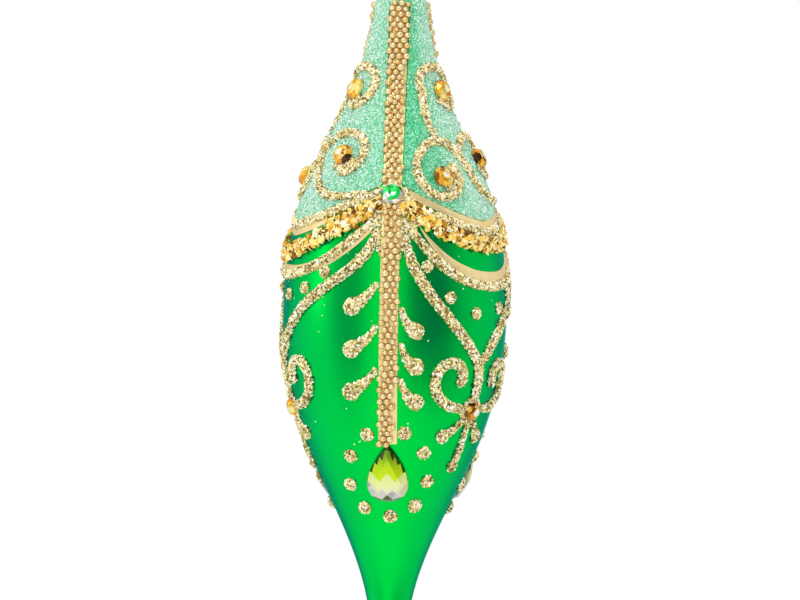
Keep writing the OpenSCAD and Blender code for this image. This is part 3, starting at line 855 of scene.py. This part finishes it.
def comma_ground(panel, side, row):
    """The full body of a drop of glitter, from its tail at the band to its head."""
    first, pitch, head, bow, tail = COMMAS[side]
    foot = BELLY_H + first - pitch * row

    def spot(share):
        weights = ((1 - share) ** 2, 2 * share * (1 - share), share ** 2)
        return [sum(w * p[k] for w, p in zip(weights, (tail, bow, head))) for k in (0, 1)]

    def place(across, up):
        arc, rise = spot(across)
        ahead = spot(across + COMMA_STEP)
        run = (side * (ahead[0] - arc), ahead[1] - rise)
        length = math.hypot(*run)
        wide = (COMMA_TAIL + (COMMA_HEAD - COMMA_TAIL) * across ** COMMA_SWELL) * (2 * up - 1)
        height = foot + rise + wide * run[0] / length
        angle = arc_angle(side * arc - wide * run[1] / length, height)
        return on_glass(panel_turn(panel) + angle, height, COMMA_OUT)

    return patch("comma_ground", 10, 4, place)


# Flakes beside a crown stone: angle from the band at which they begin, how far they run, and the steps from
# the upper swag and the garland between which they lie.
HEAD_START = 6.0
HEAD_RUN = 17.0
ASKEW_HEAD_RUN = 34.0
HEAD_TOP = -1.5
HEAD_FOOT = -0.6
HEAD_DEEP = 1.2
HEAD_OUT = 0.3


def garland_head(panel, side):
    """The wall between swag and garland beside a crown stone, where flakes crowd."""
    run = ASKEW_HEAD_RUN if panel == PANELS and side < 0 else HEAD_RUN

    def place(across, up):
        angle = HEAD_START + run * across
        if side < 0:
            angle = PANEL_TURN - HEAD_START - run + run * across
        near = 1 - across if side > 0 else across
        high = beside(UPPER_SWAGS[panel - 1], angle, HEAD_TOP)[1]
        low = beside(GARLAND_SWAGS[panel - 1], angle, HEAD_FOOT - HEAD_DEEP * near)[1]
        return on_glass(panel_turn(panel) + angle, low + (high - low) * up, HEAD_OUT)

    return patch("garland_head", 8, 4, place)


# The wall round the trim on which stray flecks lie, by height.
STRAY_LOW = 96
STRAY_HIGH = 152


def stray_ground():
    """The wall round the trim, where a few loose flecks have stuck."""
    def place(across, up):
        return on_glass(360 * across, STRAY_LOW + (STRAY_HIGH - STRAY_LOW) * up, 0.0)

    return patch("stray_ground", 72, 24, place)


# Enamel stripes

# Stripes by panel: side steps at both ends, width, reach from the panel's middle, and taper of both ends.
UPPER_STRIPES = (
    ((0.3, 0.3), 1.8, (-0.9, 0.9), (0, 0.2)),
    ((-1.75, -1.75), 1.8, (-0.8, 0.8), (0.25, 0.25)),
    ((-1.75, -1.75), 1.8, (-0.8, 0.5), (0.25, 0.25)),
)
LOWER_STRIPES = (
    ((2.1, 2.1), 2.6, (-0.82, 0.82), (0.3, 0.3)),
    ((2.1, 2.1), 2.6, (-0.82, 0.82), (0.3, 0.3)),
    ((2.2, -1.5), 2.6, (-0.6, 0.86), (0.3, 0.3)),
)
STRIPE_STEPS = 60
# Height of a stripe at its middle and edge, its thickness, how its ends run to a point, and how flat it is.
STRIPE_TOP = 0.3
STRIPE_EDGE = 0.12
STRIPE_THICK = 0.1
STRIPE_POINT = 0.7
STRIPE_FLAT = 4


def enamel_stripe(where, panel, swag, stripe, material):
    """A painted stripe beside a swag, drawn out to a point at each tapered end."""
    node = f"{where}_stripe_{panel}"
    shift, wide, reaches, taper = stripe
    middle = PANEL_TURN / 2

    def place(across, up):
        share = reaches[0] + (reaches[1] - reaches[0]) * across
        ends = (across / taper[0] if taper[0] else 1.0, (1 - across) / taper[1] if taper[1] else 1.0)
        fullness = min(1.0, *ends) ** STRIPE_POINT
        offset = shift[0] + (shift[1] - shift[0]) * across + wide * fullness * (up - 0.5)
        angle, height = beside(swag, middle + middle * share, offset)
        crown = STRIPE_EDGE + (STRIPE_TOP - STRIPE_EDGE) * (1 - (2 * up - 1) ** STRIPE_FLAT)
        return on_glass(panel_turn(panel) + angle, height, crown)

    piece = patch(f"{where}_enamel_{panel}", STRIPE_STEPS, 6, place)
    weld(piece)
    thicken(piece, STRIPE_THICK, smooth=40)
    finish_piece(piece, "ornament", material)
    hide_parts(node)


# Beads

# Heights of the lowest and highest row, spare height, and pitch across and along a strip.
BEAD_FOOT = 98.8
BEAD_TOP = 204.3
BEAD_SPARE = 0.4
BEAD_PITCH = 1.5
BEAD_ROW = 1.32
# First seed of the beads' tones.
BEAD_TONE_SEED = 40
# Where all rows hold as many beads, each is set off by this share of the pitch.
BEAD_STAGGER = 0.25
# Radii, and how far a bead may stray sideways and upwards.
BEAD_SMALL = 0.58
BEAD_LARGE = 0.95
BEAD_USUAL = 0.76
BEAD_SWAY = 0.32
BEAD_BOB = 0.35
# Stretches of a strip: lowest height, beads in even and odd rows, and its step beside the band's middle.
BEAD_STRETCHES = ((190, (3, 3), 0.15), (157, (3, 2), -0.25), (112, (3, 2), 0.1), (0, (2, 2), -0.6))
# Rounds of pushing apart, neighbours looked at, how close beads may come, and the share kept on the band.
BEAD_ROUNDS = 14
BEAD_NEIGHBOURS = 7
BEAD_CLOSE = 0.95
BEAD_ON_BAND = 0.45
# The distance taken for two beads in one place, so that they still part.
BEAD_LEAST = 1e-6
# How a bead stands on the band, as a share of its radius, and how far from the axis it may reach.
BEAD_STAND = 0.72
BEAD_REACH = -cad_box[0].y / MM - 0.03
# The room that beads leave for the crown stone, on the slope of the wall there.
CROWN_SLOPE = 1.12
CROWN_ROOM = 0.3
# A second layer lies only where the glass is slim: share, largest radius, step, lift and clear height.
SLIM_RADIUS = 24
SECOND_SHARE = 0.05
SECOND_LARGE = 0.7
SECOND_STEP = (0.7, 0.4)
SECOND_LIFT = 1.3
SECOND_CLEAR = 5


def bead_stretch(height):
    """Beads across in even and odd rows, and the side step of the strip at this height."""
    return next((across, drift) for low, across, drift in BEAD_STRETCHES if height >= low)


def bead_rows(rng):
    """Side step, height, radius and lift of each bead of a strip, row by row."""
    beads = []
    height = BEAD_FOOT
    row = 0
    while height < BEAD_TOP:
        counts, drift = bead_stretch(height)
        across = counts[row % 2]
        stagger = 0.0
        if counts[0] == counts[1]:
            stagger = BEAD_PITCH * (BEAD_STAGGER if row % 2 else -BEAD_STAGGER)
        for column in range(across):
            sway = rng.uniform(-BEAD_SWAY, BEAD_SWAY)
            side = (column - (across - 1) / 2) * BEAD_PITCH + stagger + drift + sway
            radius = rng.triangular(BEAD_SMALL, BEAD_LARGE, BEAD_USUAL)
            beads.append([side, height + rng.uniform(-BEAD_BOB, BEAD_BOB), radius, 0.0])
        height += BEAD_ROW / glass_slope(height)
        row += 1
    return beads


def part_beads(bead, other):
    """Pushes two beads apart along the wall where they meet."""
    slope = glass_slope(bead[1])
    gap_x = other[0] - bead[0]
    gap_z = (other[1] - bead[1]) * slope
    distance = math.hypot(gap_x, gap_z) or BEAD_LEAST
    push = (BEAD_CLOSE * (bead[2] + other[2]) - distance) / 2
    if push > 0:
        bead[0] -= push * gap_x / distance
        other[0] += push * gap_x / distance
        bead[1] -= push * gap_z / distance / slope
        other[1] += push * gap_z / distance / slope


def clear_of_crown(bead):
    """True where a bead lies beside the crown stone, not under it."""
    distance = math.hypot(bead[0], (bead[1] - CROWN_STONE_H) * CROWN_SLOPE)
    return distance > CROWN_STONE_R + CROWN_ROOM * bead[2]


def bead_places(seed):
    """Side step, height, radius and lift of each bead of a strip, packed by pushing neighbours apart."""
    rng = random.Random(seed)
    beads = [bead for bead in bead_rows(rng) if clear_of_crown(bead)]
    for turn in range(BEAD_ROUNDS):
        for index, bead in enumerate(beads):
            for other in beads[index + 1:index + 1 + BEAD_NEIGHBOURS]:
                part_beads(bead, other)
        for bead in beads:
            edge = BAND_HALF - BEAD_ON_BAND * bead[2]
            bead[0] = min(max(bead[0], -edge), edge)
    for bead in list(beads):
        slim = glass_radius(bead[1]) < SLIM_RADIUS
        if rng.random() < SECOND_SHARE and slim and abs(bead[1] - CROWN_STONE_H) > SECOND_CLEAR:
            radius = rng.uniform(BEAD_SMALL, SECOND_LARGE)
            beads.append([bead[0] + SECOND_STEP[0], bead[1] + SECOND_STEP[1], radius, SECOND_LIFT * radius])
    return [bead for bead in beads if BEAD_FOOT - BEAD_SPARE < bead[1] < BEAD_TOP + BEAD_SPARE]


def bead_strip(panel, material):
    """One strip of glued beads up the front of a panel."""
    rng = random.Random(BEAD_TONE_SEED + panel)
    tones = []
    deselect()
    for side, height, radius, lift in bead_places(panel):
        out = min(ENAMEL_TOP + BEAD_STAND * radius + lift, BEAD_REACH - glass_radius(height) - radius)
        place = on_glass(panel_turn(panel) + arc_angle(side, height), height, out)
        bpy.ops.mesh.primitive_ico_sphere_add(subdivisions=2, radius=radius * MM, location=place)
        if not tones:
            piece = fresh(f"gold_beads_{panel}")
            bpy.ops.object.mode_set(mode="EDIT")
        tones.append(rng.random())
    leave_edit()
    bpy.ops.object.shade_smooth()
    per_bead = len(piece.data.vertices) // len(tones)
    note(piece, "tone", "POINT", [t for t in tones for k in range(per_bead)])
    finish_piece(piece, "ornament", material)
    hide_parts(f"bead_strip_{panel}")


# Stones

# Colours of the round stones, their own amber and green with painted dark and silver reflections and white
# glints, and their rings from the middle out: share of the width, sectors, and colours.
AMBER_AND_REFLECTIONS = (
    (0.08, 0.02, 0.0), (0.40, 0.13, 0.0), (0.86, 0.34, 0.01),
    (1.0, 0.58, 0.04), (1.0, 0.82, 0.28), (1.0, 1.0, 0.94),
)
AMBER_RINGS = ((0.4, 3, (5, 5, 4)), (0.7, 6, (3, 3, 4, 2, 4, 1)), (9.0, 8, (1, 2, 3, 4, 3, 2, 0, 3)))
GREEN_AND_REFLECTIONS = (
    (0.0, 0.07, 0.02), (0.0, 0.34, 0.05), (0.0, 0.66, 0.07),
    (0.02, 0.90, 0.14), (0.45, 0.50, 0.48), (0.95, 0.98, 0.96),
)
GREEN_RINGS = ((0.3, 3, (5, 3, 2)), (0.7, 7, (2, 3, 2, 3, 1, 3, 5)), (9.0, 9, (4, 5, 4, 0, 5, 5, 4, 1, 5)))
# A round stone's table has more sides than this; the star in it is inset and dips by so much, in millimetres.
TABLE_SIDES = 7
STAR_INSET = 0.4
STAR_DIP = 0.2


def outward_share(face):
    """How squarely a face looks away from the axis."""
    return face.normal.dot(Vector((face.center.x, face.center.y, 0)).normalized())


def stone_copy(node, name):
    """A CAD stone with its flat triangles joined into facets."""
    piece = copy_of_node(node, name)
    edit_all()
    bpy.ops.mesh.dissolve_limited(angle_limit=math.radians(1))
    leave_edit()
    for face in piece.data.polygons:
        face.use_smooth = False
    return piece


def colour_facets(piece, material, node, count, choose):
    """Gives each facet its place in a palette of this many colours."""
    note(piece, "facet", "FACE", [(choose(face) + 0.5) / count for face in piece.data.polygons])
    finish_piece(piece, "ornament", material)
    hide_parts(node)


def round_stone(node, name, material, rings, count, seed):
    """Round stones, with a star cut into the table."""
    piece = stone_copy(node, name)
    hearts = []
    for face in piece.data.polygons:
        face.select = len(face.vertices) > TABLE_SIDES and outward_share(face) > 0
        if face.select:
            hearts.append((face.center.copy(), face.normal.copy()))
    bpy.ops.object.mode_set(mode="EDIT")
    bpy.ops.mesh.select_mode(type="FACE")
    bpy.ops.mesh.inset(thickness=STAR_INSET * MM, use_individual=True)
    bpy.ops.mesh.poke(offset=-STAR_DIP * MM)
    leave_edit()
    rng = random.Random(seed)
    starts = [rng.random() for heart in hearts]

    def off_heart(face):
        """The stone a face belongs to, its distance from its middle line, and its bearing in turns."""
        index = min(range(len(hearts)), key=lambda k: (hearts[k][0] - face.center).length)
        heart, normal = hearts[index]
        away = face.center - heart
        away -= normal * away.dot(normal)
        right = Vector((0, 0, 1)).cross(normal).normalized()
        bearing = math.atan2(away.dot(normal.cross(right)), away.dot(right)) / math.tau
        return index, away.length, bearing

    widest = max(off_heart(face)[1] for face in piece.data.polygons)

    # Painted reflections and glints: each ring and sector round a stone's middle gets one palette colour.
    def choose(face):
        index, distance, bearing = off_heart(face)
        sectors, colours = next((s, c) for reach, s, c in rings if distance < reach * widest)
        return colours[int((bearing + starts[index] + 1) * sectors) % len(colours)]

    colour_facets(piece, material, node, count, choose)


# Zones of painted reflections on the pear crystal, in shares of its height and half width: the base of each
# edge, and its bow, spikes, tip or teeth.
PEAR_DARK = 0.76
PEAR_DARK_BOW = -0.42
PEAR_SPIKES = 4.0
PEAR_SPIKE_RISE = 0.2
PEAR_TIP = 0.18
PEAR_TIP_RISE = 0.16
PEAR_VIVID = 0.36
PEAR_TEETH = 0.38
PEAR_TOOTH_RISE = 0.16
PEAR_GREY = 0.24
PEAR_GREY_TEETH = 0.26
PEAR_GREY_RISE = -0.11
PEAR_FOOT = 0.13
PEAR_FOOT_RISE = -0.3
# The painted grey reflection low on the sides: where it begins, how it runs upwards, and how strong it is on
# the right.
PEAR_RIM = 0.2
PEAR_RIM_RUN = 2.0
PEAR_RIM_RIGHT = 0.4
# Facets that look outwards less squarely than this are the rim.
RIM_FACING = 0.55


def pear_glass():
    """Olive crystal with painted reflections of its foil: dark at its tip and rim, vivid above, pale below
    and grey at its foot, in zigzags.
    """
    finish = Finish("olive_stone")
    reckon = finish.calculate
    across = reckon("ABSOLUTE", finish.attribute("across"))
    up = finish.attribute("up")
    facet = finish.attribute("facet")

    def tooth(middle):
        """Distance from a tooth of the zigzag, from 0 at its point to 1 at its root."""
        return reckon("DIVIDE", reckon("ABSOLUTE", reckon("SUBTRACT", across, middle)), middle)

    def over(base, add_on, share):
        """A base with a share of another value added."""
        return reckon("ADD", reckon("MULTIPLY", add_on, share), base)

    spikes = reckon("PINGPONG", reckon("MULTIPLY", across, PEAR_SPIKES), 0.5)
    tip = reckon("MAXIMUM", over(1.0, across, -1 / PEAR_TIP), 0.0)
    dark_line = over(PEAR_DARK, reckon("POWER", across, 2.0), PEAR_DARK_BOW)
    dark_line = over(over(dark_line, spikes, PEAR_SPIKE_RISE), tip, PEAR_TIP_RISE)
    vivid_line = over(PEAR_VIVID, tooth(PEAR_TEETH), PEAR_TOOTH_RISE)
    grey_line = over(PEAR_GREY, tooth(PEAR_GREY_TEETH), PEAR_GREY_RISE)
    foot_line = over(PEAR_FOOT, across, PEAR_FOOT_RISE)
    # Painted reflections of the foil: each zone's colour, and the bright facets in the dark, grey and foot
    # zones, stand for what the facets mirror.
    painted_pale = finish.ramp(up, (0.1, (0.80, 0.76, 0.55)), (0.3, (0.80, 0.84, 0.36)), (0.5, (0.70, 0.80, 0.26)))
    vivid = finish.ramp(up, (0.35, (0.58, 0.78, 0.0)), (0.6, (0.48, 0.72, 0.0)), (0.85, (0.18, 0.42, 0.02)))
    dark = finish.ramp(
        facet, (0.0, (0.008, 0.022, 0.001)), (0.7, (0.03, 0.07, 0.004)), (1.0, (0.22, 0.38, 0.06)),
    )
    grey = finish.ramp(facet, (0.0, (0.30, 0.29, 0.30)), (1.0, (0.70, 0.68, 0.62)))
    foot = finish.ramp(facet, (0.0, (0.015, 0.05, 0.004)), (1.0, (0.16, 0.27, 0.03)))
    # Painted reflection on the rim facets: grey low on the stone, dark at its top.
    painted_rim = finish.ramp(up, (0.30, (0.34, 0.32, 0.33)), (0.46, (0.46, 0.50, 0.22)), (0.6, (0.012, 0.03, 0.003)))
    # Painted grey reflection low on the sides, stronger on the left.
    low_rim = reckon("GREATER_THAN", across, over(PEAR_RIM, up, PEAR_RIM_RUN))
    left = reckon("LESS_THAN", finish.attribute("across"), 0.0)
    rim_share = reckon("MULTIPLY", low_rim, over(PEAR_RIM_RIGHT, left, 1 - PEAR_RIM_RIGHT))
    colour = finish.blend(reckon("GREATER_THAN", up, vivid_line), painted_pale, vivid)
    colour = finish.blend(reckon("LESS_THAN", up, grey_line), colour, grey)
    colour = finish.blend(reckon("LESS_THAN", up, foot_line), colour, foot)
    colour = finish.blend(rim_share, colour, grey)
    colour = finish.blend(reckon("GREATER_THAN", up, dark_line), colour, dark)
    colour = finish.blend(finish.attribute("painted_rim"), colour, painted_rim)
    finish.set(Base_Color=colour, Metallic=0.5, Roughness=0.16, IOR=1.4)
    finish.set(Coat_Weight=0.15, Coat_Roughness=0.02)
    return finish.material


def pear_stone(panel, material, seed):
    """A pear crystal, with each corner's place on its face and each facet's own tone for its painted
    reflections.
    """
    node = f"pear_crystal_{panel}"
    piece = stone_copy(node, f"pear_stone_{panel}")
    low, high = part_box(node)
    rng = random.Random(seed)
    turn = math.radians(panel_turn(panel))
    side = Vector((math.cos(turn), math.sin(turn), 0))
    arcs = [vertex.co.dot(side) for vertex in piece.data.vertices]
    half = max(arcs)
    rises = [(vertex.co.z - low.z) / (high.z - low.z) for vertex in piece.data.vertices]
    rims = [float(outward_share(face) < RIM_FACING) for face in piece.data.polygons]
    note(piece, "across", "POINT", [arc / half for arc in arcs])
    note(piece, "up", "POINT", rises)
    note(piece, "painted_rim", "FACE", rims)
    colour_facets(piece, material, node, 1, lambda face: rng.random() - 0.5)


# Camera and light

# What the photo shows, and how the camera stands to it, in metres and degrees; its sensor is in millimetres.
PHOTO_WIDTH = 193.2 * MM
PHOTO_MIDDLE_Z = -102.9 * MM
SENSOR_WIDTH = 36
CAMERA_DISTANCE = 1.2
CAMERA_TURN = 3.0
CAMERA_ROLL = 1.117
AXIS_SHIFT = 1.17 * MM
# Lamps round the belly: place, width, height, power, and whether the glass mirrors it.
LAMP_AIM = (0, 0, -0.1)
LAMPS = {
    "left_lamp": ((-0.89, -0.11, 0.0), 0.35, 0.7, 0.8, False),
    "streak_lamp": ((-0.82, -0.12, 0.02), 0.24, 0.3, 0.21, True),
    "front_lamp": ((-0.25, -0.72, 0.85), 0.3, 0.3, 3.0, True),
    "right_lamp": ((0.9, 0.02, 0.0), 0.3, 0.7, 0.5, False),
    "top_lamp": ((0.0, -0.1, 0.8), 0.5, 0.5, 1.0, True),
}
# What the satin glass mirrors level with it and from below: bearing in degrees and brightness.
FLAGS = (
    (-180, 0.9), (-164, 0.45), (-146, 0.3), (-122, 0.6), (-97, 0.72), (-69, 0.72), (-58, 0.34), (-36, 0.22),
    (-27, 0.7), (-18, 0.85), (4, 1.0), (14, 0.4), (24, 0.1), (56, 0.07), (72, 0.4), (90, 0.6), (123, 0.6),
    (150, 0.35), (166, 0.6), (180, 0.9),
)
LOW_FLAGS = (
    (-180, 0.93), (-156, 0.55), (-130, 0.7), (-85, 0.78), (-30, 0.93),
    (30, 0.93), (85, 0.76), (130, 0.68), (156, 0.55), (180, 0.93),
)
# How far below level only the low flags show, and how quickly the others take over above that.
LOW_EDGE = 0.58
LOW_RUN = 2.8
ROOM_LIGHT = 1.15


def photo_camera():
    """A long lens level with the belly."""
    data = bpy.data.cameras.new("photo_camera")
    data.sensor_width = SENSOR_WIDTH
    data.lens = SENSOR_WIDTH * CAMERA_DISTANCE / PHOTO_WIDTH
    camera = set_out("photo_camera", data)
    turn = math.radians(CAMERA_TURN)
    right = Vector((math.cos(turn), math.sin(turn), 0))
    back = Vector((math.sin(turn), -math.cos(turn), 0))
    spot = Vector((0, 0, PHOTO_MIDDLE_Z)) + right * AXIS_SHIFT + back * CAMERA_DISTANCE
    level = Matrix((right, Vector((0, 0, 1)), back)).transposed().to_4x4()
    roll = Matrix.Rotation(math.radians(CAMERA_ROLL), 4, "Z")
    camera.matrix_world = Matrix.Translation(spot) @ level @ roll
    bpy.context.scene.camera = camera


def soft_lamp(name, place, wide, high, power, mirrored):
    """A soft lamp aimed at the belly."""
    data = bpy.data.lights.new(name, "AREA")
    data.shape = "RECTANGLE"
    data.size = wide
    data.size_y = high
    data.energy = power
    lamp = set_out(name, data)
    lamp.location = place
    lamp.visible_glossy = mirrored
    lamp.rotation_euler = (Vector(LAMP_AIM) - Vector(place)).to_track_quat("-Z", "Y").to_euler()


def studio_world():
    """Even light, a white background, and a surround with grey flags for what the satin glass mirrors."""
    world = bpy.data.worlds.new("studio")
    bpy.context.scene.world = world
    world.use_nodes = True
    tree = world.node_tree
    tree.nodes.clear()

    def white(strength):
        """White light of one strength."""
        node = feed(tree.nodes.new("ShaderNodeBackground"), Color=(1, 1, 1, 1), Strength=strength)
        return node.outputs["Background"]

    def choice(share, first, second):
        """The first light, or the second where the share says so."""
        node = feed(tree.nodes.new("ShaderNodeMixShader"), Fac=share)
        plug(first, node.inputs[1])
        plug(second, node.inputs[2])
        return node.outputs["Shader"]

    direction = tree.nodes.new("ShaderNodeTexCoord").outputs["Generated"]
    parts = feed(tree.nodes.new("ShaderNodeSeparateXYZ"), Vector=direction)
    share = math_node(tree, "ADD", math_node(tree, "DIVIDE", bearing_of(tree, parts), math.tau), 0.5)

    def levels(stops):
        """Brightness by bearing in degrees."""
        node = feed(tree.nodes.new("ShaderNodeValToRGB"), Fac=share)
        fill_ramp(node, [((angle + 180) / 360, level) for angle, level in stops])
        return node.outputs["Color"]

    raised = math_node(tree, "ADD", parts.outputs["Z"], LOW_EDGE)
    height = math_node(tree, "MULTIPLY", raised, LOW_RUN)
    height.node.use_clamp = True
    level = tree.nodes.new("ShaderNodeMix")
    level.data_type = "RGBA"
    feed(level, Factor=height, A=levels(LOW_FLAGS), B=levels(FLAGS))
    surround = feed(tree.nodes.new("ShaderNodeBackground"), Color=level.outputs["Result"])
    path = tree.nodes.new("ShaderNodeLightPath").outputs
    lit = choice(path["Is Glossy Ray"], white(ROOM_LIGHT), surround.outputs["Background"])
    seen = math_node(tree, "MAXIMUM", path["Is Camera Ray"], path["Is Transmission Ray"])
    feed(tree.nodes.new("ShaderNodeOutputWorld"), Surface=choice(seen, lit, white(1.0)))


# Build

# What is strewn: count on a square millimetre, smallest and largest width, and lean in degrees.
FROST_CRUMBS = dict(per_mm2=9.0, smallest=0.22, largest=0.5, tilt=70)
LINE_FLECKS = dict(per_mm2=8.5, smallest=0.36, largest=0.8, tilt=48)
LOOSE_FLECKS = dict(per_mm2=9.0, smallest=0.36, largest=0.78, tilt=45)
JOINT_FLECKS = dict(per_mm2=9.0, smallest=0.36, largest=0.8, tilt=48)
STRAY_FLECKS = dict(per_mm2=0.016, smallest=0.22, largest=0.42, tilt=20, darkest=0.6)
HEAD_FLAKES = dict(per_mm2=1.6, smallest=1.1, largest=1.9, tilt=50)
GARLAND_FLAKES = dict(per_mm2=1.8, smallest=1.2, largest=2.1, tilt=55)
# How far the glitter stands off each kind of line, in millimetres.
LINE_LIFTS = {
    "upper_ridge": 0.05, "lower_ridge": 0.1, "upper_scroll": 0.02, "lower_scroll": 0.24,
    "tassel_drops": 0.16, "band_drops": 0.05, "swag_dots": 0.05, "pear_dots": 0.05,
}
# First seeds of what is strewn and of the stones.
FROST_SEED = 5
AMBER_SEED = 60
GREEN_SEED = 70
STRAY_SEED = 77
PEAR_SEED = 80
LINE_SEED = 100
GARLAND_SEED = 300
FAN_SEED = 400
CRESCENT_SEED = 500
HEAD_SEED = 600
JOINT_SEED = 700
COMMA_SEED = 800
NEST_SEED = 900


def strew_flecks(place, name, flecks, lift, seed):
    """Strews gold glitter over a place."""
    sprinkle(place, name, "gold_glitter", shape=fleck, material=fleck_gold, lift=lift, seed=seed, **flecks)


def strew_flakes(place, name, flakes, lift, seed):
    """Strews gold foil flakes over a place."""
    sprinkle(place, name, "gold_chips", shape=flake, material=chip_gold, lift=lift, seed=seed, **flakes)


def trim_beside_band(panel, side):
    """Fan, crescent, flakes and drops on one side of a band."""
    where = "left" if side < 0 else "right"
    place = f"{where}_{panel}"
    key = 2 * panel + side
    strew_flecks(fan_ground(panel, side), f"fan_glitter_{place}", LOOSE_FLECKS, lift=0.2, seed=FAN_SEED + key)
    crescent = crescent_ground(panel, side)
    strew_flecks(crescent, f"crescent_glitter_{place}", LOOSE_FLECKS, lift=0.1, seed=CRESCENT_SEED + key)
    head = garland_head(panel, side)
    strew_flakes(head, f"garland_head_{place}", HEAD_FLAKES, lift=0.2, seed=HEAD_SEED + key)
    for row in range(COMMAS_IN_ROW):
        name = f"comma_glitter_{where}_{row + 1}_{panel}"
        seed = COMMA_SEED + 20 * panel + 4 * row + side
        strew_flecks(comma_ground(panel, side, row), name, LOOSE_FLECKS, lift=0.15, seed=seed)


def scroll_joints(panel):
    """The glitter that joins the lines of a panel's scrolls to each other and to their stones."""
    for index, nest in enumerate(NESTS):
        name = f"nest_glitter_{index + 1}_{panel}"
        seed = NEST_SEED + 10 * panel + index
        strew_flecks(nest_ground(panel, nest), name, JOINT_FLECKS, lift=0.1, seed=seed)
    low = scroll_turn(panel)
    high = panel_turn(panel)
    joints = (
        ("knot", knot_ground(panel)),
        ("fork", joint_ground(low, OTHER_VINE, FORK, JOINT_WIDE, JOINT_OUT)),
        ("stem", joint_ground(low, FORK, TASSEL_STONE, JOINT_WIDE, JOINT_OUT)),
        ("hook", joint_ground(high, HOOK_FOOT, CURL_TOP, JOINT_WIDE, COAT_TOP + JOINT_OUT)),
        ("root", joint_ground(high, VINE_ROOT, RIDGE_TOP, ROOT_WIDE, COAT_TOP + ROOT_OUT)),
    )
    for index, (where, place) in enumerate(joints):
        seed = JOINT_SEED + 10 * panel + index
        strew_flecks(place, f"{where}_glitter_{panel}", JOINT_FLECKS, lift=0.0, seed=seed)


photo_camera()
studio_world()
for name, values in LAMPS.items():
    soft_lamp(name, *values)
bpy.context.scene.view_settings.view_transform = "Standard"

blow_glass(satin_green())

bead_gold = gold_bead()
enamel = gold_enamel()
glue_gold = glitter_glue()
fleck_gold = glitter_fleck()
chip_gold = foil_chip()
amber_glass = cut_stone("amber_stone", *AMBER_AND_REFLECTIONS)
green_glass = cut_stone("green_stone", *GREEN_AND_REFLECTIONS)
olive_glass = pear_glass()
fleck = foil_fleck()
crumb = frost_crumb()
flake = foil_flake()

dress(cad_nodes["glitter_coat"], frost_ground())
dress(cad_nodes["crown_cap"], pressed_gold())
dress(cad_nodes["hanger_wire"], drawn_wire())
for panel in range(1, PANELS + 1):
    for name in ("gold_band", "upper_stripe", "lower_stripe"):
        dress(cad_nodes[f"{name}_{panel}"], enamel)
    # The CAD chips carry no fleck tone, so they take the foil's darkest brown: painted shade under the loose
    # flakes.
    dress(cad_nodes[f"chip_garland_{panel}"], chip_gold)

sprinkle(
    ground_of("glitter_coat"), "mint_frost", "frost_glitter", shape=crumb, material=frost_grain(),
    lift=0.02, seed=FROST_SEED, **FROST_CRUMBS,
)
for index, (name, lift) in enumerate(LINE_LIFTS.items()):
    for panel in range(1, PANELS + 1):
        node = f"{name}_{panel}"
        dress(cad_nodes[node], glue_gold)
        seed = LINE_SEED + 10 * index + panel
        strew_flecks(ground_of(node), f"{name}_glitter_{panel}", LINE_FLECKS, lift, seed)
strew_flecks(stray_ground(), "stray_glitter", STRAY_FLECKS, lift=0.02, seed=STRAY_SEED)
for panel in range(1, PANELS + 1):
    for side in (-1, 1):
        trim_beside_band(panel, side)
    scroll_joints(panel)
    garland = ground_of(f"chip_garland_{panel}")
    strew_flakes(garland, f"garland_chips_{panel}", GARLAND_FLAKES, lift=0.1, seed=GARLAND_SEED + panel)
    enamel_stripe("upper", panel, UPPER_SWAGS[panel - 1], UPPER_STRIPES[panel - 1], enamel)
    enamel_stripe("lower", panel, LOWER_SWAGS[panel - 1], LOWER_STRIPES[panel - 1], enamel)
    bead_strip(panel, bead_gold)
    round_stone(
        f"amber_stones_{panel}", f"amber_stone_set_{panel}", amber_glass,
        AMBER_RINGS, len(AMBER_AND_REFLECTIONS), AMBER_SEED + panel,
    )
    round_stone(
        f"crown_stone_{panel}", f"green_stone_{panel}", green_glass,
        GREEN_RINGS, len(GREEN_AND_REFLECTIONS), GREEN_SEED + panel,
    )
    pear_stone(panel, olive_glass, PEAR_SEED + panel)

for shape in (fleck, crumb, flake):
    bpy.data.objects.remove(shape)
